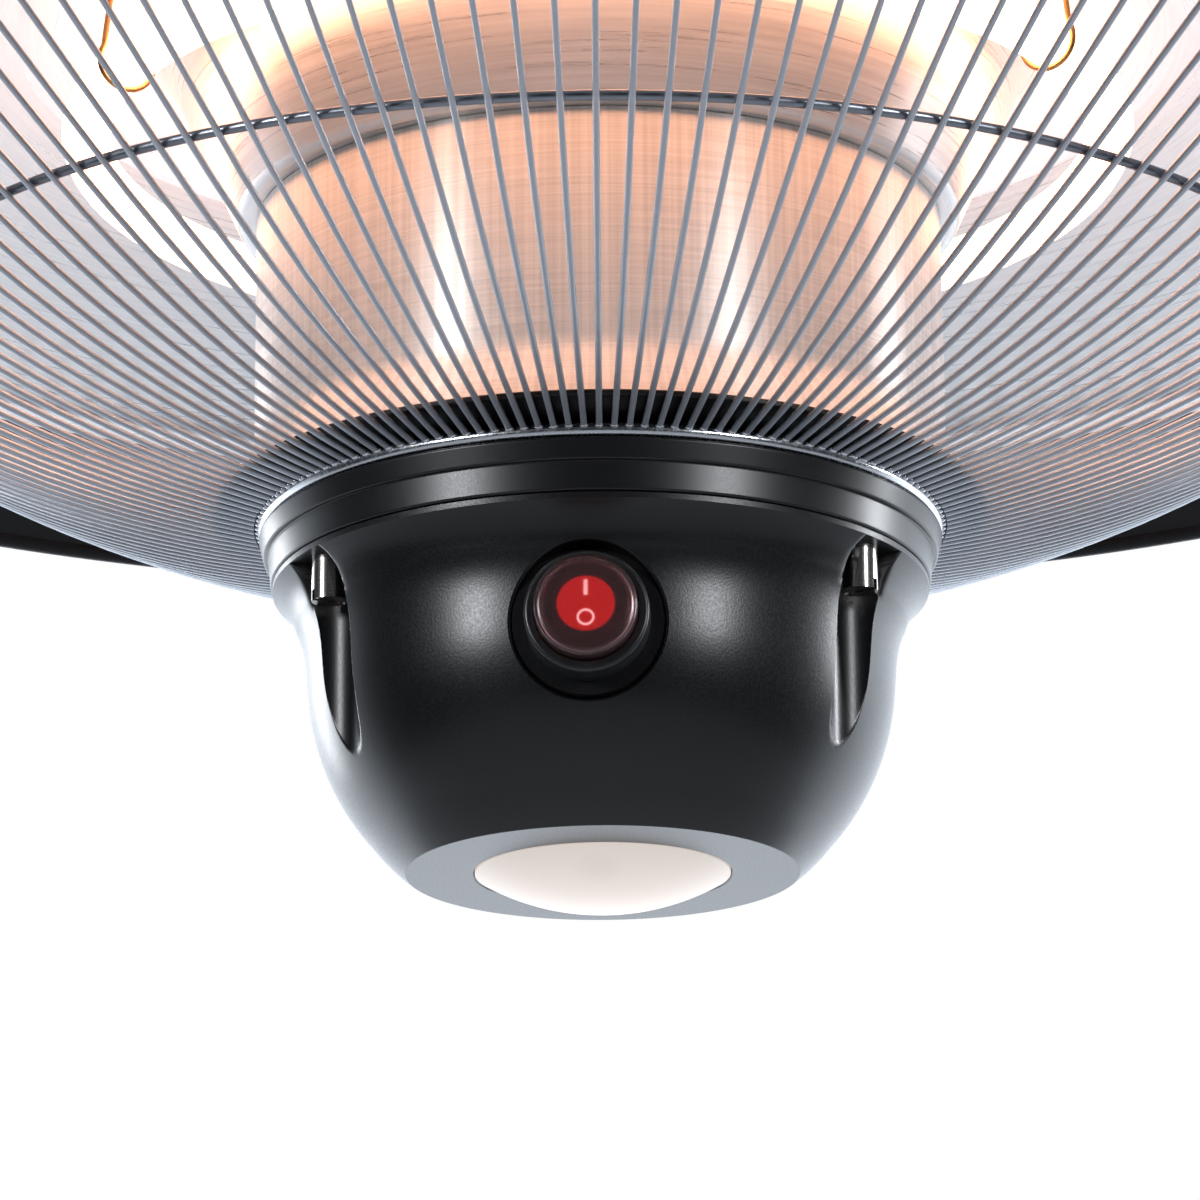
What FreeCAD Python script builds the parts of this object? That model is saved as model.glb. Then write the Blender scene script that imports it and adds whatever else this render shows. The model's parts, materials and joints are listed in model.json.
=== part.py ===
import FreeCAD, Part
import math
import os
from FreeCAD import Vector

# Hanging patio heater: a ring lamp under a wide hat, with a wire guard and a control bowl below.
# Millimetres, +Z up. The origin is the centre of the hole in the bail that the heater hangs from.
# The front, with the switch, faces -Y. Azimuths count from the front towards +X.

# General clearances
screw_clearance = 0.1
seat_gap = 0.1
running_gap = 0.05

# Bail: a bent steel strip with a hole for a hook
hang_hole_radius = 5.0
strip_thickness = 3.0
strip_width = 20.0
bail_drop = 55.0
bail_span = 60.0
bail_bend = 9.0

# Tilt pivot and bracket on the cap
pivot_radius = 3.0
pivot_height = 16.0
pivot_head_flats = 10.0
pivot_head_height = 4.0
pivot_side_gap = 0.3
bracket_thickness = 2.5
bracket_width = 24.0
bracket_screw_radius = 2.0
bracket_screw_x = 14.0
bracket_screw_y = 7.0

# Cap over the wiring
cap_radius = 78.0
cap_height = 38.0
cap_wall = 1.5
cap_edge = 8.0
cap_flange_width = 12.0
cap_flange_bend = 2.5
cap_screw_radius = 2.0
cap_screw_inset = 5.5
cap_screw_count = 3

# Cord gland in the cap's back
gland_bore_radius = 4.0
gland_thread_radius = 8.0
gland_flats = 20.0
gland_flange = 4.0
gland_nose = 14.0
gland_nut_height = 4.0
gland_tail = 1.0
gland_height = 19.0
gland_cap_straight = 8.4
gland_cap_inset = 1.0
gland_cap_lip = 0.8
gland_cap_round = 3.0

# Hat
hat_wall = 1.5
hat_flat_margin = 6.0
hat_land_width = 36.0
hat_brim_width = 27.0
hat_land_drop = 33.0
hat_radius = 289.0
hat_rim_drop = 57.0
hat_bend = 8.0
hat_rim_roll = 2.5
hat_to_guard = 136.0

# Reflector pan
pan_wall = 1.0
pan_bore_radius = 46.0
pan_throat_margin = 8.0
pan_throat_flare = 14.0
pan_crown_width = 28.0
pan_crown_drop = 30.0
pan_rim_width = 22.0
pan_rim_inset = 12.0
pan_bend = 6.0
pan_spacer_height = 8.0
pan_spacer_radius = 4.0
pan_spacer_inset = 16.0
pan_spacer_count = 6
pan_screw_radius = 2.0
pan_screw_bite = 6.0

# Core cylinder
core_radius = 70.0
core_wall = 1.2
core_foot_flare = 7.0
core_foot_height = 11.5
core_foot_bend = 9.0
core_bead = 2.0
core_top = 67.0

# Ring lamp
lamp_crown_inset = 13.0
lamp_tube_radius = 5.0
lamp_tube_wall = 1.0
lamp_height = 85.0
lamp_gap_angle = 9.0
lamp_filament_radius = 1.2
lamp_cap_width = 15.0
lamp_cap_length = 16.0
lamp_socket_depth = 5.0
lamp_socket_gap = 0.3
clip_azimuths = (-150.0, -60.0, 60.0, 150.0)
clip_wall = 1.2
clip_width = 6.0
clip_mouth = 6.0
clip_foot = 14.0

# Wire guard
guard_wire_radius = 0.65
guard_wire_count = 150
guard_wire_sides = 6
guard_arc_spans = 2
guard_inner_gap = 0.3
guard_inner_rod = 1.5
guard_wire_start = 0.7
guard_wire_start_rise = 2.25
guard_mid_ring_radius = 153.0
guard_mid_rise = 35.0
guard_mid_rod = 1.0
guard_rim_inset = 12.0
guard_outer_rise = 86.0
guard_outer_rod = 1.75
guard_clip_count = 4
guard_clip_width = 8.0
guard_clip_wall = 1.2
guard_clip_tab = 8.0
guard_clip_hole = 4.8
guard_clip_lip = 8.0
guard_clip_leg_gap = 3.0
guard_screw_radius = 1.5

# Collar tray, measured from the guard's seat
tray_rim_margin = 0.8
tray_rim_top = 6.4
tray_rim_edge = 1.1
tray_neck_inset = 4.2
tray_neck_top = 3.5
tray_band_inset = 1.0
tray_band_taper = 1.1
tray_band_depth = 4.3
tray_step_inset = 0.9
tray_step_taper = 0.6
tray_depth = 10.0
tray_wall = 2.0
tray_floor = 1.6
tray_hole_radius = 12.0

# Control bowl, measured down from the guard's seat
bowl_lip_inset = 0.4
bowl_lip_height = 1.4
bowl_waist_inset = 11.0
bowl_waist_top = 26.0
bowl_waist_bottom = 29.0
bowl_bottom = 69.0
bowl_flat_radius = 39.2
bowl_wall = 2.5
channel_radius = 7.1
channel_wall = 2.0
channel_offset = 2.0

# Studs and the barrel nuts that hold the bowl
stud_offset = 1.0
stud_radius = 2.0
stud_azimuths = (-60.0, 60.0, 180.0)
stud_sleeve_radius = 4.5
stud_tip = 1.0
stud_nut_height = 3.2
stud_nut_flats = 7.0
barrel_radius = 3.6
barrel_length = 9.0
barrel_thread_depth = 6.0
barrel_slot_width = 1.2
barrel_slot_depth = 2.0

# Light in the bowl's bottom
lens_radius = 25.4
lens_gap = 0.2
lens_sag = 7.0
lens_wall = 2.0
lens_flange_radius = 30.0
lens_flange = 1.5
retainer_bore_radius = 24.0
retainer_radius = 38.5
retainer_height = 2.0
lens_screw_count = 3
lens_screw_ring_radius = 35.0
lens_screw_radius = 1.4
lens_screw_boss = 3.5
board_thickness = 1.6
led_size = 5.0
led_height = 1.0
led_ring_radius = 13.0
led_count = 8
receiver_reach = 20.0
receiver_size = (5.0, 4.0, 3.0)

# Rocker switch: reaches are distances from the heater's axis towards the front
switch_drop = 33.2
well_radius = 14.6
well_depth = 2.2
switch_boss_radius = 17.0
switch_boss_depth = 3.4
switch_barrel_radius = 9.9
switch_barrel_length = 18.8
switch_flange_radius = 12.0
switch_flange_height = 5.4
switch_bore_radius = 7.6
switch_bore_depth = 12.0
switch_nut_radius = 11.8
switch_nut_height = 3.0
bezel_height = 2.0
bezel_edge = 0.8
boot_flange_radius = 10.9
boot_flange = 1.0
boot_radius = 9.9
boot_wall = 0.9
boot_height = 6.8
boot_edge = 1.6
rocker_face_radius = 5.5
rocker_base_radius = 6.9
rocker_face_gap = 1.5
rocker_base_depth = 2.5
rocker_base_edge = 1.0
rocker_face_edge = 0.4
rocker_throw = 6.0
trunnion_radius = 1.2
trunnion_reach = 9.0
trunnion_depth = 2.7
terminal_size = 6.3
terminal_thickness = 0.8
terminal_length = 8.0
terminal_pitch = 5.0

# Control board behind the switch
control_board_margin = 11.0
standoff_height = 8.4
standoff_radius = 3.0
standoff_inset = 8.0
standoff_start = 270.0
standoff_count = 3
board_screw_radius = 1.4
relay_size = (19.0, 15.0, 15.0)
relay_columns = (-24.0, -2.0)
relay_offset = 22.0
transformer_size = (30.0, 25.0, 21.0)
transformer_x = 18.0
capacitor_radius = 5.0
capacitor_length = 16.0
capacitor_x = -20.0
capacitor_y = 4.0
cutout_radius = 8.0
cutout_height = 6.0
cutout_cap_radius = 5.6
cutout_cap_height = 2.4
cutout_offset = 34.0

# Wiring between cap and board
terminal_block_size = (36.0, 16.0, 20.0)
terminal_count = 3
terminal_well_radius = 3.4
terminal_entry = 16.0
terminal_block_offset = 30.0
lead_radius = 2.5
lead_bend = 12.0
grommet_radius = 11.0
grommet_lip = 1.5
grommet_groove_radius = 9.0

# Fasteners' heads, as shares of the shank's radius and of the head's height
pan_head_ratio = 1.9
pan_head_height = 1.2
pan_head_crown = 0.6

# Radii that follow from the sizes above
cap_flange_radius = cap_radius + cap_flange_width
cap_screw_ring_radius = cap_flange_radius - cap_screw_inset
hat_flat_radius = cap_flange_radius + hat_flat_margin
hat_land_outer = hat_radius - hat_brim_width
hat_land_inner = hat_land_outer - hat_land_width
pan_rim_radius = hat_land_outer - pan_rim_inset
pan_rim_inner = pan_rim_radius - pan_rim_width
pan_spacer_ring_radius = pan_rim_radius - pan_spacer_inset
guard_outer_ring_radius = pan_rim_radius - guard_rim_inset
core_foot_radius = core_radius + core_foot_flare
pan_throat_radius = core_radius + pan_throat_margin
pan_crown_inner = pan_throat_radius + pan_throat_flare
pan_crown_outer = pan_crown_inner + pan_crown_width
lamp_ring_radius = pan_crown_inner + lamp_crown_inset
tray_rim_radius = core_foot_radius + tray_rim_margin
tray_neck_radius = core_radius - tray_neck_inset
tray_band_radius = core_radius - tray_band_inset
tray_band_low_radius = tray_band_radius - tray_band_taper
tray_step_radius = tray_band_low_radius - tray_step_inset
tray_foot_radius = tray_step_radius - tray_step_taper
guard_inner_ring_radius = tray_neck_radius + guard_inner_gap + guard_inner_rod
bowl_lip_radius = tray_foot_radius - bowl_lip_inset
bowl_waist_radius = core_radius - bowl_waist_inset
stud_ring_radius = bowl_waist_radius + stud_offset
channel_ring_radius = bowl_waist_radius + channel_offset
well_reach = bowl_waist_radius - well_depth
switch_barrel_reach = well_reach - switch_barrel_length
control_board_radius = bowl_waist_radius - control_board_margin
standoff_ring_radius = control_board_radius - standoff_inset

# Levels that follow from the sizes above
tilt_z = -bail_drop
cap_top = tilt_z - pivot_height
hat_top = cap_top - cap_height
guard_z = hat_top - hat_to_guard
hat_under = hat_top - hat_wall
land_under = hat_top - hat_land_drop - hat_wall
pan_rim_z = land_under - pan_spacer_height - pan_wall
pan_crown_z = hat_top - pan_crown_drop
core_top_z = guard_z + core_top
tray_top_z = guard_z + tray_rim_top
tray_bottom_z = guard_z - tray_depth
tray_floor_z = tray_bottom_z + tray_floor
bowl_floor_z = guard_z - bowl_bottom
bowl_inside_z = bowl_floor_z + bowl_wall
lens_seat_z = bowl_inside_z + lens_flange
retainer_top_z = lens_seat_z + retainer_height
lamp_z = guard_z + lamp_height
switch_z = guard_z - switch_drop
control_board_z = tray_bottom_z - standoff_height
channel_top_z = tray_bottom_z - bowl_lip_height
switch_front_reach = well_reach + switch_flange_height
pivot_reach = switch_front_reach - trunnion_depth

VERTICAL = Vector(0, 0, 1)
SIDE_AZIMUTH = 90.0


# Small builders shared by the pieces

def polar(radius, azimuth, z):
    angle = math.radians(azimuth)
    return Vector(radius * math.sin(angle), -radius * math.cos(angle), z)


def turned(shape, azimuth):
    return shape.rotated(Vector(), VERTICAL, azimuth)


def from_side(shape, azimuth):
    """Turns a piece that was built over +X to an azimuth."""
    return turned(shape, azimuth - SIDE_AZIMUTH)


def around(shape, count, start=0.0):
    return [turned(shape, start + 360.0 * i / count) for i in range(count)]


def cylinder(radius, height, base, direction=VERTICAL):
    return Part.makeCylinder(radius, height, base, direction)


def box(size, centre, bottom):
    corner = Vector(centre.x - size[0] / 2, centre.y - size[1] / 2, bottom)
    return Part.makeBox(size[0], size[1], size[2], corner)


def hexagon(flats, height, base, direction=VERTICAL):
    corners = []
    for i in range(7):
        angle = math.radians(60.0 * i)
        corners.append(Vector(math.cos(angle), math.sin(angle), 0) * (flats / math.sqrt(3)))
    prism = Part.Face(Part.makePolygon(corners)).extrude(Vector(0, 0, height))
    prism.Placement = FreeCAD.Placement(base, FreeCAD.Rotation(VERTICAL, direction))
    return prism


def rounded_edges(points, radii, closed):
    """Straight runs joined by tangent arcs; a radius of 0 leaves the corner sharp."""
    count = len(points)
    entries = []
    exits = []
    arcs = []
    for i, corner in enumerate(points):
        radius = radii[i]
        is_end = not closed and i in (0, count - 1)
        if radius == 0 or is_end:
            entries.append(corner)
            exits.append(corner)
            arcs.append(None)
            continue
        back = (points[i - 1] - corner).normalize()
        ahead = (points[(i + 1) % count] - corner).normalize()
        half = back.getAngle(ahead) / 2
        reach = radius / math.tan(half)
        inward = (back + ahead).normalize()
        entries.append(corner + back * reach)
        exits.append(corner + ahead * reach)
        arcs.append(corner + inward * (radius / math.sin(half) - radius))
    edges = []
    for i in range(count):
        if arcs[i] is not None:
            edges.append(Part.Arc(entries[i], arcs[i], exits[i]).toShape())
        is_last = i == count - 1
        if is_last and not closed:
            continue
        start = exits[i]
        end = entries[(i + 1) % count]
        if start.distanceToPoint(end) > 1e-6:
            edges.append(Part.makeLine(start, end))
    return edges


def flat_points(pairs):
    return [Vector(r, 0, z) for r, z in pairs]


def profile(pairs, radii=None):
    """Closed face in the XZ plane."""
    points = flat_points(pairs)
    edges = rounded_edges(points, radii or [0] * len(points), True)
    return Part.Face(Part.Wire(edges))


def sheet(pairs, bend, wall):
    """Face of a bent sheet: a path with rounded bends, whose wall lies to the left of its direction."""
    points = flat_points(pairs)
    radii = [bend] * len(points)
    path = Part.Wire(rounded_edges(points, radii, False))
    return path.makeOffset2D(wall, 0, True, True)


def revolved(face):
    return face.revolve(Vector(), VERTICAL, 360)


def to_front(shape):
    """Turns a piece built along +Z, with +Y up, to face the front at the switch's height."""
    moved = shape.rotated(Vector(), Vector(1, 0, 0), 90)
    moved.translate(Vector(0, 0, switch_z))
    return moved


def screw(shank_radius, length, seat, direction):
    """Pan-head screw whose head sits on the seat and whose shank runs along the direction."""
    head_radius = shank_radius * pan_head_ratio
    head_height = shank_radius * pan_head_height
    shank = cylinder(shank_radius, length, seat, direction)
    head = cylinder(head_radius, head_height, seat, direction * -1)
    crown_edge = [e for e in head.Edges if e.Length > 1 and is_far_circle(e, seat, head_height)]
    head = head.makeFillet(head_height * pan_head_crown, crown_edge)
    return head.fuse(shank).removeSplitter()


def is_far_circle(edge, seat, height):
    return abs(edge.CenterOfMass.distanceToPoint(seat) - height) < 1e-3


def nut(flats, height, bore, base, direction=VERTICAL):
    body = hexagon(flats, height, base, direction)
    return body.cut(cylinder(bore, height, base, direction))


# Hanger

def hanger_bail():
    inner = bail_span / 2
    under = -strip_thickness / 2
    path = [(-inner, tilt_z), (-inner, under), (inner, under), (inner, tilt_z)]
    strap = sheet(path, bail_bend, strip_thickness).extrude(Vector(0, strip_width, 0))
    strap.translate(Vector(0, -strip_width / 2, 0))
    for side in (-1, 1):
        eye_base = Vector(side * inner, 0, tilt_z)
        eye = cylinder(strip_width / 2, strip_thickness, eye_base, Vector(side, 0, 0))
        strap = strap.fuse(eye)
    bore = pivot_radius + running_gap
    reach = inner + strip_thickness
    axle_hole = cylinder(bore, 2 * reach, Vector(-reach, 0, tilt_z), Vector(1, 0, 0))
    hook_hole = cylinder(hang_hole_radius, strip_thickness, Vector(0, 0, under))
    return strap.cut(axle_hole).cut(hook_hole).removeSplitter()


def bracket_half_width():
    return bail_span / 2 - pivot_side_gap


def hanger_bracket():
    half = bracket_half_width()
    foot = box((2 * half, bracket_width, bracket_thickness), Vector(), cap_top)
    shape = foot
    for side in (-1, 1):
        inner_x = min(side * half, side * (half - bracket_thickness))
        ear_corner = Vector(inner_x, -bracket_width / 2, cap_top)
        ear = Part.makeBox(bracket_thickness, bracket_width, pivot_height, ear_corner)
        eye = cylinder(bracket_width / 2, bracket_thickness, Vector(inner_x, 0, tilt_z), Vector(1, 0, 0))
        shape = shape.fuse([ear, eye])
    axle_hole = cylinder(pivot_radius + running_gap, 2 * half, Vector(-half, 0, tilt_z), Vector(1, 0, 0))
    shape = shape.cut(axle_hole)
    for spot in bracket_screw_spots():
        shape = shape.cut(cylinder(bracket_screw_radius + screw_clearance, bracket_thickness, spot))
    return shape.removeSplitter()


def bracket_screw_spots():
    spots = []
    for side_x in (-1, 1):
        for side_y in (-1, 1):
            spots.append(Vector(side_x * bracket_screw_x, side_y * bracket_screw_y, cap_top))
    return spots


def pivot_bolts():
    bolts = []
    head_x = bail_span / 2 + strip_thickness + pivot_side_gap
    tip_x = bracket_half_width() - bracket_thickness - pivot_head_height
    for side in (-1, 1):
        inward = Vector(-side, 0, 0)
        seat = Vector(side * head_x, 0, tilt_z)
        head = hexagon(pivot_head_flats, pivot_head_height, seat, inward * -1)
        bolts.append(head.fuse(cylinder(pivot_radius, head_x - tip_x, seat, inward)))
    return bolts


def pivot_nuts():
    nuts = []
    face_x = bracket_half_width() - bracket_thickness
    for side in (-1, 1):
        base = Vector(side * face_x, 0, tilt_z)
        bore = pivot_radius + running_gap
        nuts.append(nut(pivot_head_flats, pivot_head_height, bore, base, Vector(-side, 0, 0)))
    return nuts


def bracket_screws():
    length = bracket_thickness + cap_wall + stud_nut_height
    lift = Vector(0, 0, bracket_thickness)
    return [screw(bracket_screw_radius, length, spot + lift, VERTICAL * -1) for spot in bracket_screw_spots()]


def bracket_nuts():
    drop = Vector(0, 0, -cap_wall - stud_nut_height)
    bore = bracket_screw_radius + running_gap
    return [nut(stud_nut_flats, stud_nut_height, bore, spot + drop) for spot in bracket_screw_spots()]


# Cap and gland

def cap_screw_spots():
    step = 360.0 / cap_screw_count
    return [polar(cap_screw_ring_radius, step * i, hat_top + cap_wall) for i in range(cap_screw_count)]


def top_cap():
    path = [(0, cap_top), (cap_radius, cap_top), (cap_radius, hat_top + cap_wall),
            (cap_flange_radius, hat_top + cap_wall)]
    bends = [0, cap_edge, cap_flange_bend, 0]
    edges = rounded_edges(flat_points(path), bends, False)
    face = Part.Wire(edges).makeOffset2D(-cap_wall, 0, True, True)
    shape = revolved(face)
    for spot in bracket_screw_spots():
        hole = cylinder(bracket_screw_radius + screw_clearance, 2 * cap_wall, spot - VERTICAL * 2 * cap_wall)
        shape = shape.cut(hole)
    for spot in cap_screw_spots():
        hole = cylinder(cap_screw_radius + screw_clearance, cap_wall, spot - VERTICAL * cap_wall)
        shape = shape.cut(hole)
    gland_hole = cylinder(gland_thread_radius + screw_clearance, cap_radius, gland_centre(0), Vector(0, 1, 0))
    return shape.cut(gland_hole)


def cap_screws():
    length = cap_wall + hat_wall + 2 * cap_screw_radius
    return [screw(cap_screw_radius, length, spot, VERTICAL * -1) for spot in cap_screw_spots()]


def gland_centre(y):
    return Vector(0, y, hat_top + gland_height)


def gland_nut_face():
    """Where the lock nut's corners meet the round wall of the cap from inside."""
    corner = gland_flats / math.sqrt(3)
    return math.sqrt((cap_radius - cap_wall) ** 2 - corner ** 2) - seat_gap


def gland_body():
    outward = Vector(0, 1, 0)
    inside = gland_nut_face() - gland_nut_height - gland_tail
    flange_y = cap_radius + seat_gap
    end = flange_y + gland_flange + gland_nose
    barrel = cylinder(gland_thread_radius, end - inside, gland_centre(inside), outward)
    flange = hexagon(gland_flats, gland_flange, gland_centre(flange_y), outward)
    bore = cylinder(gland_bore_radius, end - inside, gland_centre(inside), outward)
    return barrel.fuse(flange).cut(bore)


def gland_cap_nut():
    start = cap_radius + seat_gap + gland_flange + seat_gap
    thread = gland_thread_radius + running_gap
    rim = gland_flats / 2
    end = start + gland_nose - gland_cap_inset
    pairs = [(thread, start), (rim, start), (rim, start + gland_cap_straight),
             (thread + gland_cap_lip, end), (thread, end)]
    shape = revolved(profile(pairs, [0, 0, gland_cap_round, 0, 0]))
    shape.rotate(Vector(), Vector(1, 0, 0), -90)
    shape.translate(gland_centre(0))
    return shape


def gland_locknut():
    bore = gland_thread_radius + running_gap
    return nut(gland_flats, gland_nut_height, bore, gland_centre(gland_nut_face()), Vector(0, -1, 0))


# Hat and its wiring

def hat_land_z():
    return hat_top - hat_land_drop


def hat_shade():
    bore = grommet_groove_radius + seat_gap
    path = [(bore, hat_top), (hat_flat_radius, hat_top), (hat_land_inner, hat_land_z()),
            (hat_land_outer, hat_land_z()), (hat_radius, hat_top - hat_rim_drop)]
    shape = revolved(sheet(path, hat_bend, -hat_wall))
    rim = Part.makeTorus(hat_radius, hat_rim_roll, Vector(0, 0, hat_top - hat_rim_drop), VERTICAL)
    shape = shape.fuse(rim)
    holes = []
    for azimuth in stud_azimuths:
        foot = polar(stud_ring_radius, azimuth, hat_under)
        holes.append(cylinder(stud_radius + screw_clearance, hat_wall, foot))
    for spot in cap_screw_spots():
        foot = Vector(spot.x, spot.y, hat_under)
        holes.append(cylinder(cap_screw_radius + screw_clearance, hat_wall, foot))
    for spot in pan_spacer_spots():
        foot = Vector(spot.x, spot.y, land_under)
        holes.append(cylinder(pan_screw_radius + screw_clearance, hat_wall, foot))
    return shape.cut(holes)


def hat_grommet():
    groove = hat_wall + 2 * seat_gap
    low = hat_under - seat_gap - grommet_lip
    bore = lead_radius + seat_gap
    pairs = [(bore, low), (grommet_radius, low), (grommet_radius, low + grommet_lip),
             (grommet_groove_radius, low + grommet_lip), (grommet_groove_radius, low + grommet_lip + groove),
             (grommet_radius, low + grommet_lip + groove), (grommet_radius, low + 2 * grommet_lip + groove),
             (bore, low + 2 * grommet_lip + groove)]
    return revolved(profile(pairs))


def terminal_block():
    body = box(terminal_block_size, Vector(0, terminal_block_offset, 0), hat_top)
    pitch = terminal_block_size[0] / terminal_count
    for i in range(terminal_count):
        well_x = (i + 0.5) * pitch - terminal_block_size[0] / 2
        well_base = Vector(well_x, terminal_block_offset, hat_top + terminal_block_size[2] / 2)
        body = body.cut(cylinder(terminal_well_radius, terminal_block_size[2], well_base))
    return body


def lead_sleeve():
    bottom = control_board_z
    level = hat_top + terminal_entry
    block_face = terminal_block_offset - terminal_block_size[1] / 2
    route = [Vector(0, 0, bottom), Vector(0, 0, level), Vector(0, block_face, level)]
    path = Part.Wire(rounded_edges(route, [0, lead_bend, 0], False))
    section = Part.Wire(Part.makeCircle(lead_radius, route[0], VERTICAL))
    return path.makePipeShell([section], True, False)


# Reflector pan and how it is carried

def pan_spacer_spots():
    step = 360.0 / pan_spacer_count
    foot = pan_rim_z + pan_wall
    return [polar(pan_spacer_ring_radius, step * (i + 0.5), foot) for i in range(pan_spacer_count)]


def guard_clip_azimuths():
    return [360.0 / guard_clip_count * (i + 0.5) for i in range(guard_clip_count)]


def reflector_pan():
    path = [(pan_bore_radius, core_top_z), (pan_throat_radius, core_top_z), (pan_crown_inner, pan_crown_z),
            (pan_crown_outer, pan_crown_z), (pan_rim_inner, pan_rim_z), (pan_rim_radius, pan_rim_z)]
    shape = revolved(sheet(path, pan_bend, pan_wall))
    holes = []
    for azimuth in stud_azimuths:
        foot = polar(stud_ring_radius, azimuth, core_top_z)
        holes.append(cylinder(stud_radius + screw_clearance, pan_wall, foot))
    for azimuth in guard_clip_azimuths():
        foot = polar(guard_screw_ring_radius(), azimuth, pan_rim_z)
        holes.append(cylinder(guard_screw_radius + screw_clearance, pan_wall, foot))
    return shape.cut(holes)


def pan_spacers():
    posts = []
    for spot in pan_spacer_spots():
        post = cylinder(pan_spacer_radius, pan_spacer_height, spot)
        posts.append(post.cut(cylinder(pan_screw_radius + running_gap, pan_spacer_height, spot)))
    return posts


def pan_screws():
    length = hat_wall + pan_screw_bite
    screws = []
    for spot in pan_spacer_spots():
        seat = Vector(spot.x, spot.y, hat_land_z())
        screws.append(screw(pan_screw_radius, length, seat, VERTICAL * -1))
    return screws


def stud_sleeves():
    base = core_top_z + pan_wall
    height = hat_under - base
    sleeves = []
    for azimuth in stud_azimuths:
        foot = polar(stud_ring_radius, azimuth, base)
        sleeve = cylinder(stud_sleeve_radius, height, foot)
        sleeves.append(sleeve.cut(cylinder(stud_radius + screw_clearance, height, foot)))
    return sleeves


def mounting_studs():
    bottom = channel_top_z - barrel_thread_depth + seat_gap
    top = hat_top + stud_nut_height + stud_tip
    return [cylinder(stud_radius, top - bottom, polar(stud_ring_radius, a, bottom)) for a in stud_azimuths]


def stud_nuts():
    bore = stud_radius + running_gap
    feet = [polar(stud_ring_radius, azimuth, hat_top) for azimuth in stud_azimuths]
    return [nut(stud_nut_flats, stud_nut_height, bore, foot) for foot in feet]


def core_tube():
    bead_circle = core_radius - core_wall + core_bead
    bead_z = core_top_z - core_bead
    foot_top = tray_top_z + core_foot_height
    path = [(core_radius, bead_z), (core_radius, foot_top), (core_foot_radius, tray_top_z)]
    wall = revolved(sheet(path, core_foot_bend, -core_wall))
    below = cylinder(2 * core_radius, 2 * core_wall, Vector(0, 0, tray_top_z - 2 * core_wall))
    bead = Part.makeTorus(bead_circle, core_bead, Vector(0, 0, bead_z), VERTICAL)
    return wall.cut(below).fuse(bead)


# Ring lamp

def lamp_arc(radius):
    centre = Vector(lamp_ring_radius, 0, lamp_z)
    section = Part.Face(Part.Wire(Part.makeCircle(radius, centre, Vector(0, 1, 0))))
    arc = section.revolve(Vector(), VERTICAL, 360 - 2 * lamp_gap_angle)
    return from_side(arc, 180.0 + lamp_gap_angle)


def lamp_tube():
    return lamp_arc(lamp_tube_radius).cut(lamp_arc(lamp_tube_radius - lamp_tube_wall))


def lamp_filament():
    return lamp_arc(lamp_filament_radius)


def lamp_end_cap(side):
    """Ceramic holder that hangs from the pan's crown and takes one end of the lamp."""
    insertion = lamp_socket_depth - 2 * lamp_socket_gap
    socket_angle = math.degrees(insertion / lamp_ring_radius)
    bottom = lamp_z - lamp_cap_width / 2
    height = pan_crown_z - bottom
    block = Part.makeBox(lamp_cap_length, lamp_cap_width, height,
                         Vector(-lamp_cap_length, -lamp_cap_width / 2, bottom))
    socket_start = Vector(-lamp_socket_depth, 0, lamp_z)
    socket = cylinder(lamp_tube_radius + lamp_socket_gap, lamp_socket_depth, socket_start, Vector(1, 0, 0))
    block = block.cut(socket)
    block.translate(Vector(0, -lamp_ring_radius, 0))
    if side < 0:
        block = block.mirror(Vector(), Vector(1, 0, 0))
    return turned(block, 180.0 + side * (lamp_gap_angle + socket_angle))


def lamp_end_caps():
    return [lamp_end_cap(1), lamp_end_cap(-1)]


def lamp_clip():
    """Spring clip round the tube, with a stem up to a foot under the pan's crown."""
    inner = lamp_tube_radius + seat_gap
    outer = inner + clip_wall
    centre = Vector(-clip_width / 2, -lamp_ring_radius, lamp_z)
    along = Vector(1, 0, 0)
    ring = cylinder(outer, clip_width, centre, along).cut(cylinder(inner, clip_width, centre, along))
    mouth = box((clip_width, clip_mouth, 2 * outer), Vector(0, -lamp_ring_radius, 0), lamp_z - 2 * outer)
    ring = ring.cut(mouth)
    stem_bottom = lamp_z + inner + clip_wall / 2
    stem_size = (clip_width, clip_wall, pan_crown_z - stem_bottom)
    stem = box(stem_size, Vector(0, -lamp_ring_radius, 0), stem_bottom)
    foot = box((clip_width, clip_foot, clip_wall), Vector(0, -lamp_ring_radius, 0), pan_crown_z - clip_wall)
    return ring.fuse([stem, foot]).removeSplitter()


def lamp_clips():
    return [turned(lamp_clip(), azimuth) for azimuth in clip_azimuths]


# Wire guard

def guard_path():
    """Points of one wire in (radius, height), a gentle arc to the middle ring and a straight run beyond."""
    start_radius = guard_inner_ring_radius + guard_inner_rod + guard_wire_start
    start = Vector(start_radius, 0, guard_z + guard_wire_start_rise)
    middle = Vector(guard_mid_ring_radius, 0, guard_z + guard_mid_rise)
    end = Vector(guard_outer_ring_radius, 0, guard_z + guard_outer_rise)
    chord = middle - start
    straight = end - middle
    chord_angle = math.atan2(chord.z, chord.x)
    bend = 2 * (math.atan2(straight.z, straight.x) - chord_angle)
    radius = chord.Length / (2 * math.sin(bend / 2))
    first = chord_angle - bend / 2
    points = []
    for i in range(guard_arc_spans + 1):
        angle = first + bend * i / guard_arc_spans
        along = radius * (math.sin(angle) - math.sin(first))
        rise = radius * (math.cos(first) - math.cos(angle))
        points.append(start + Vector(along, 0, rise))
    points.append(end)
    return points


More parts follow.
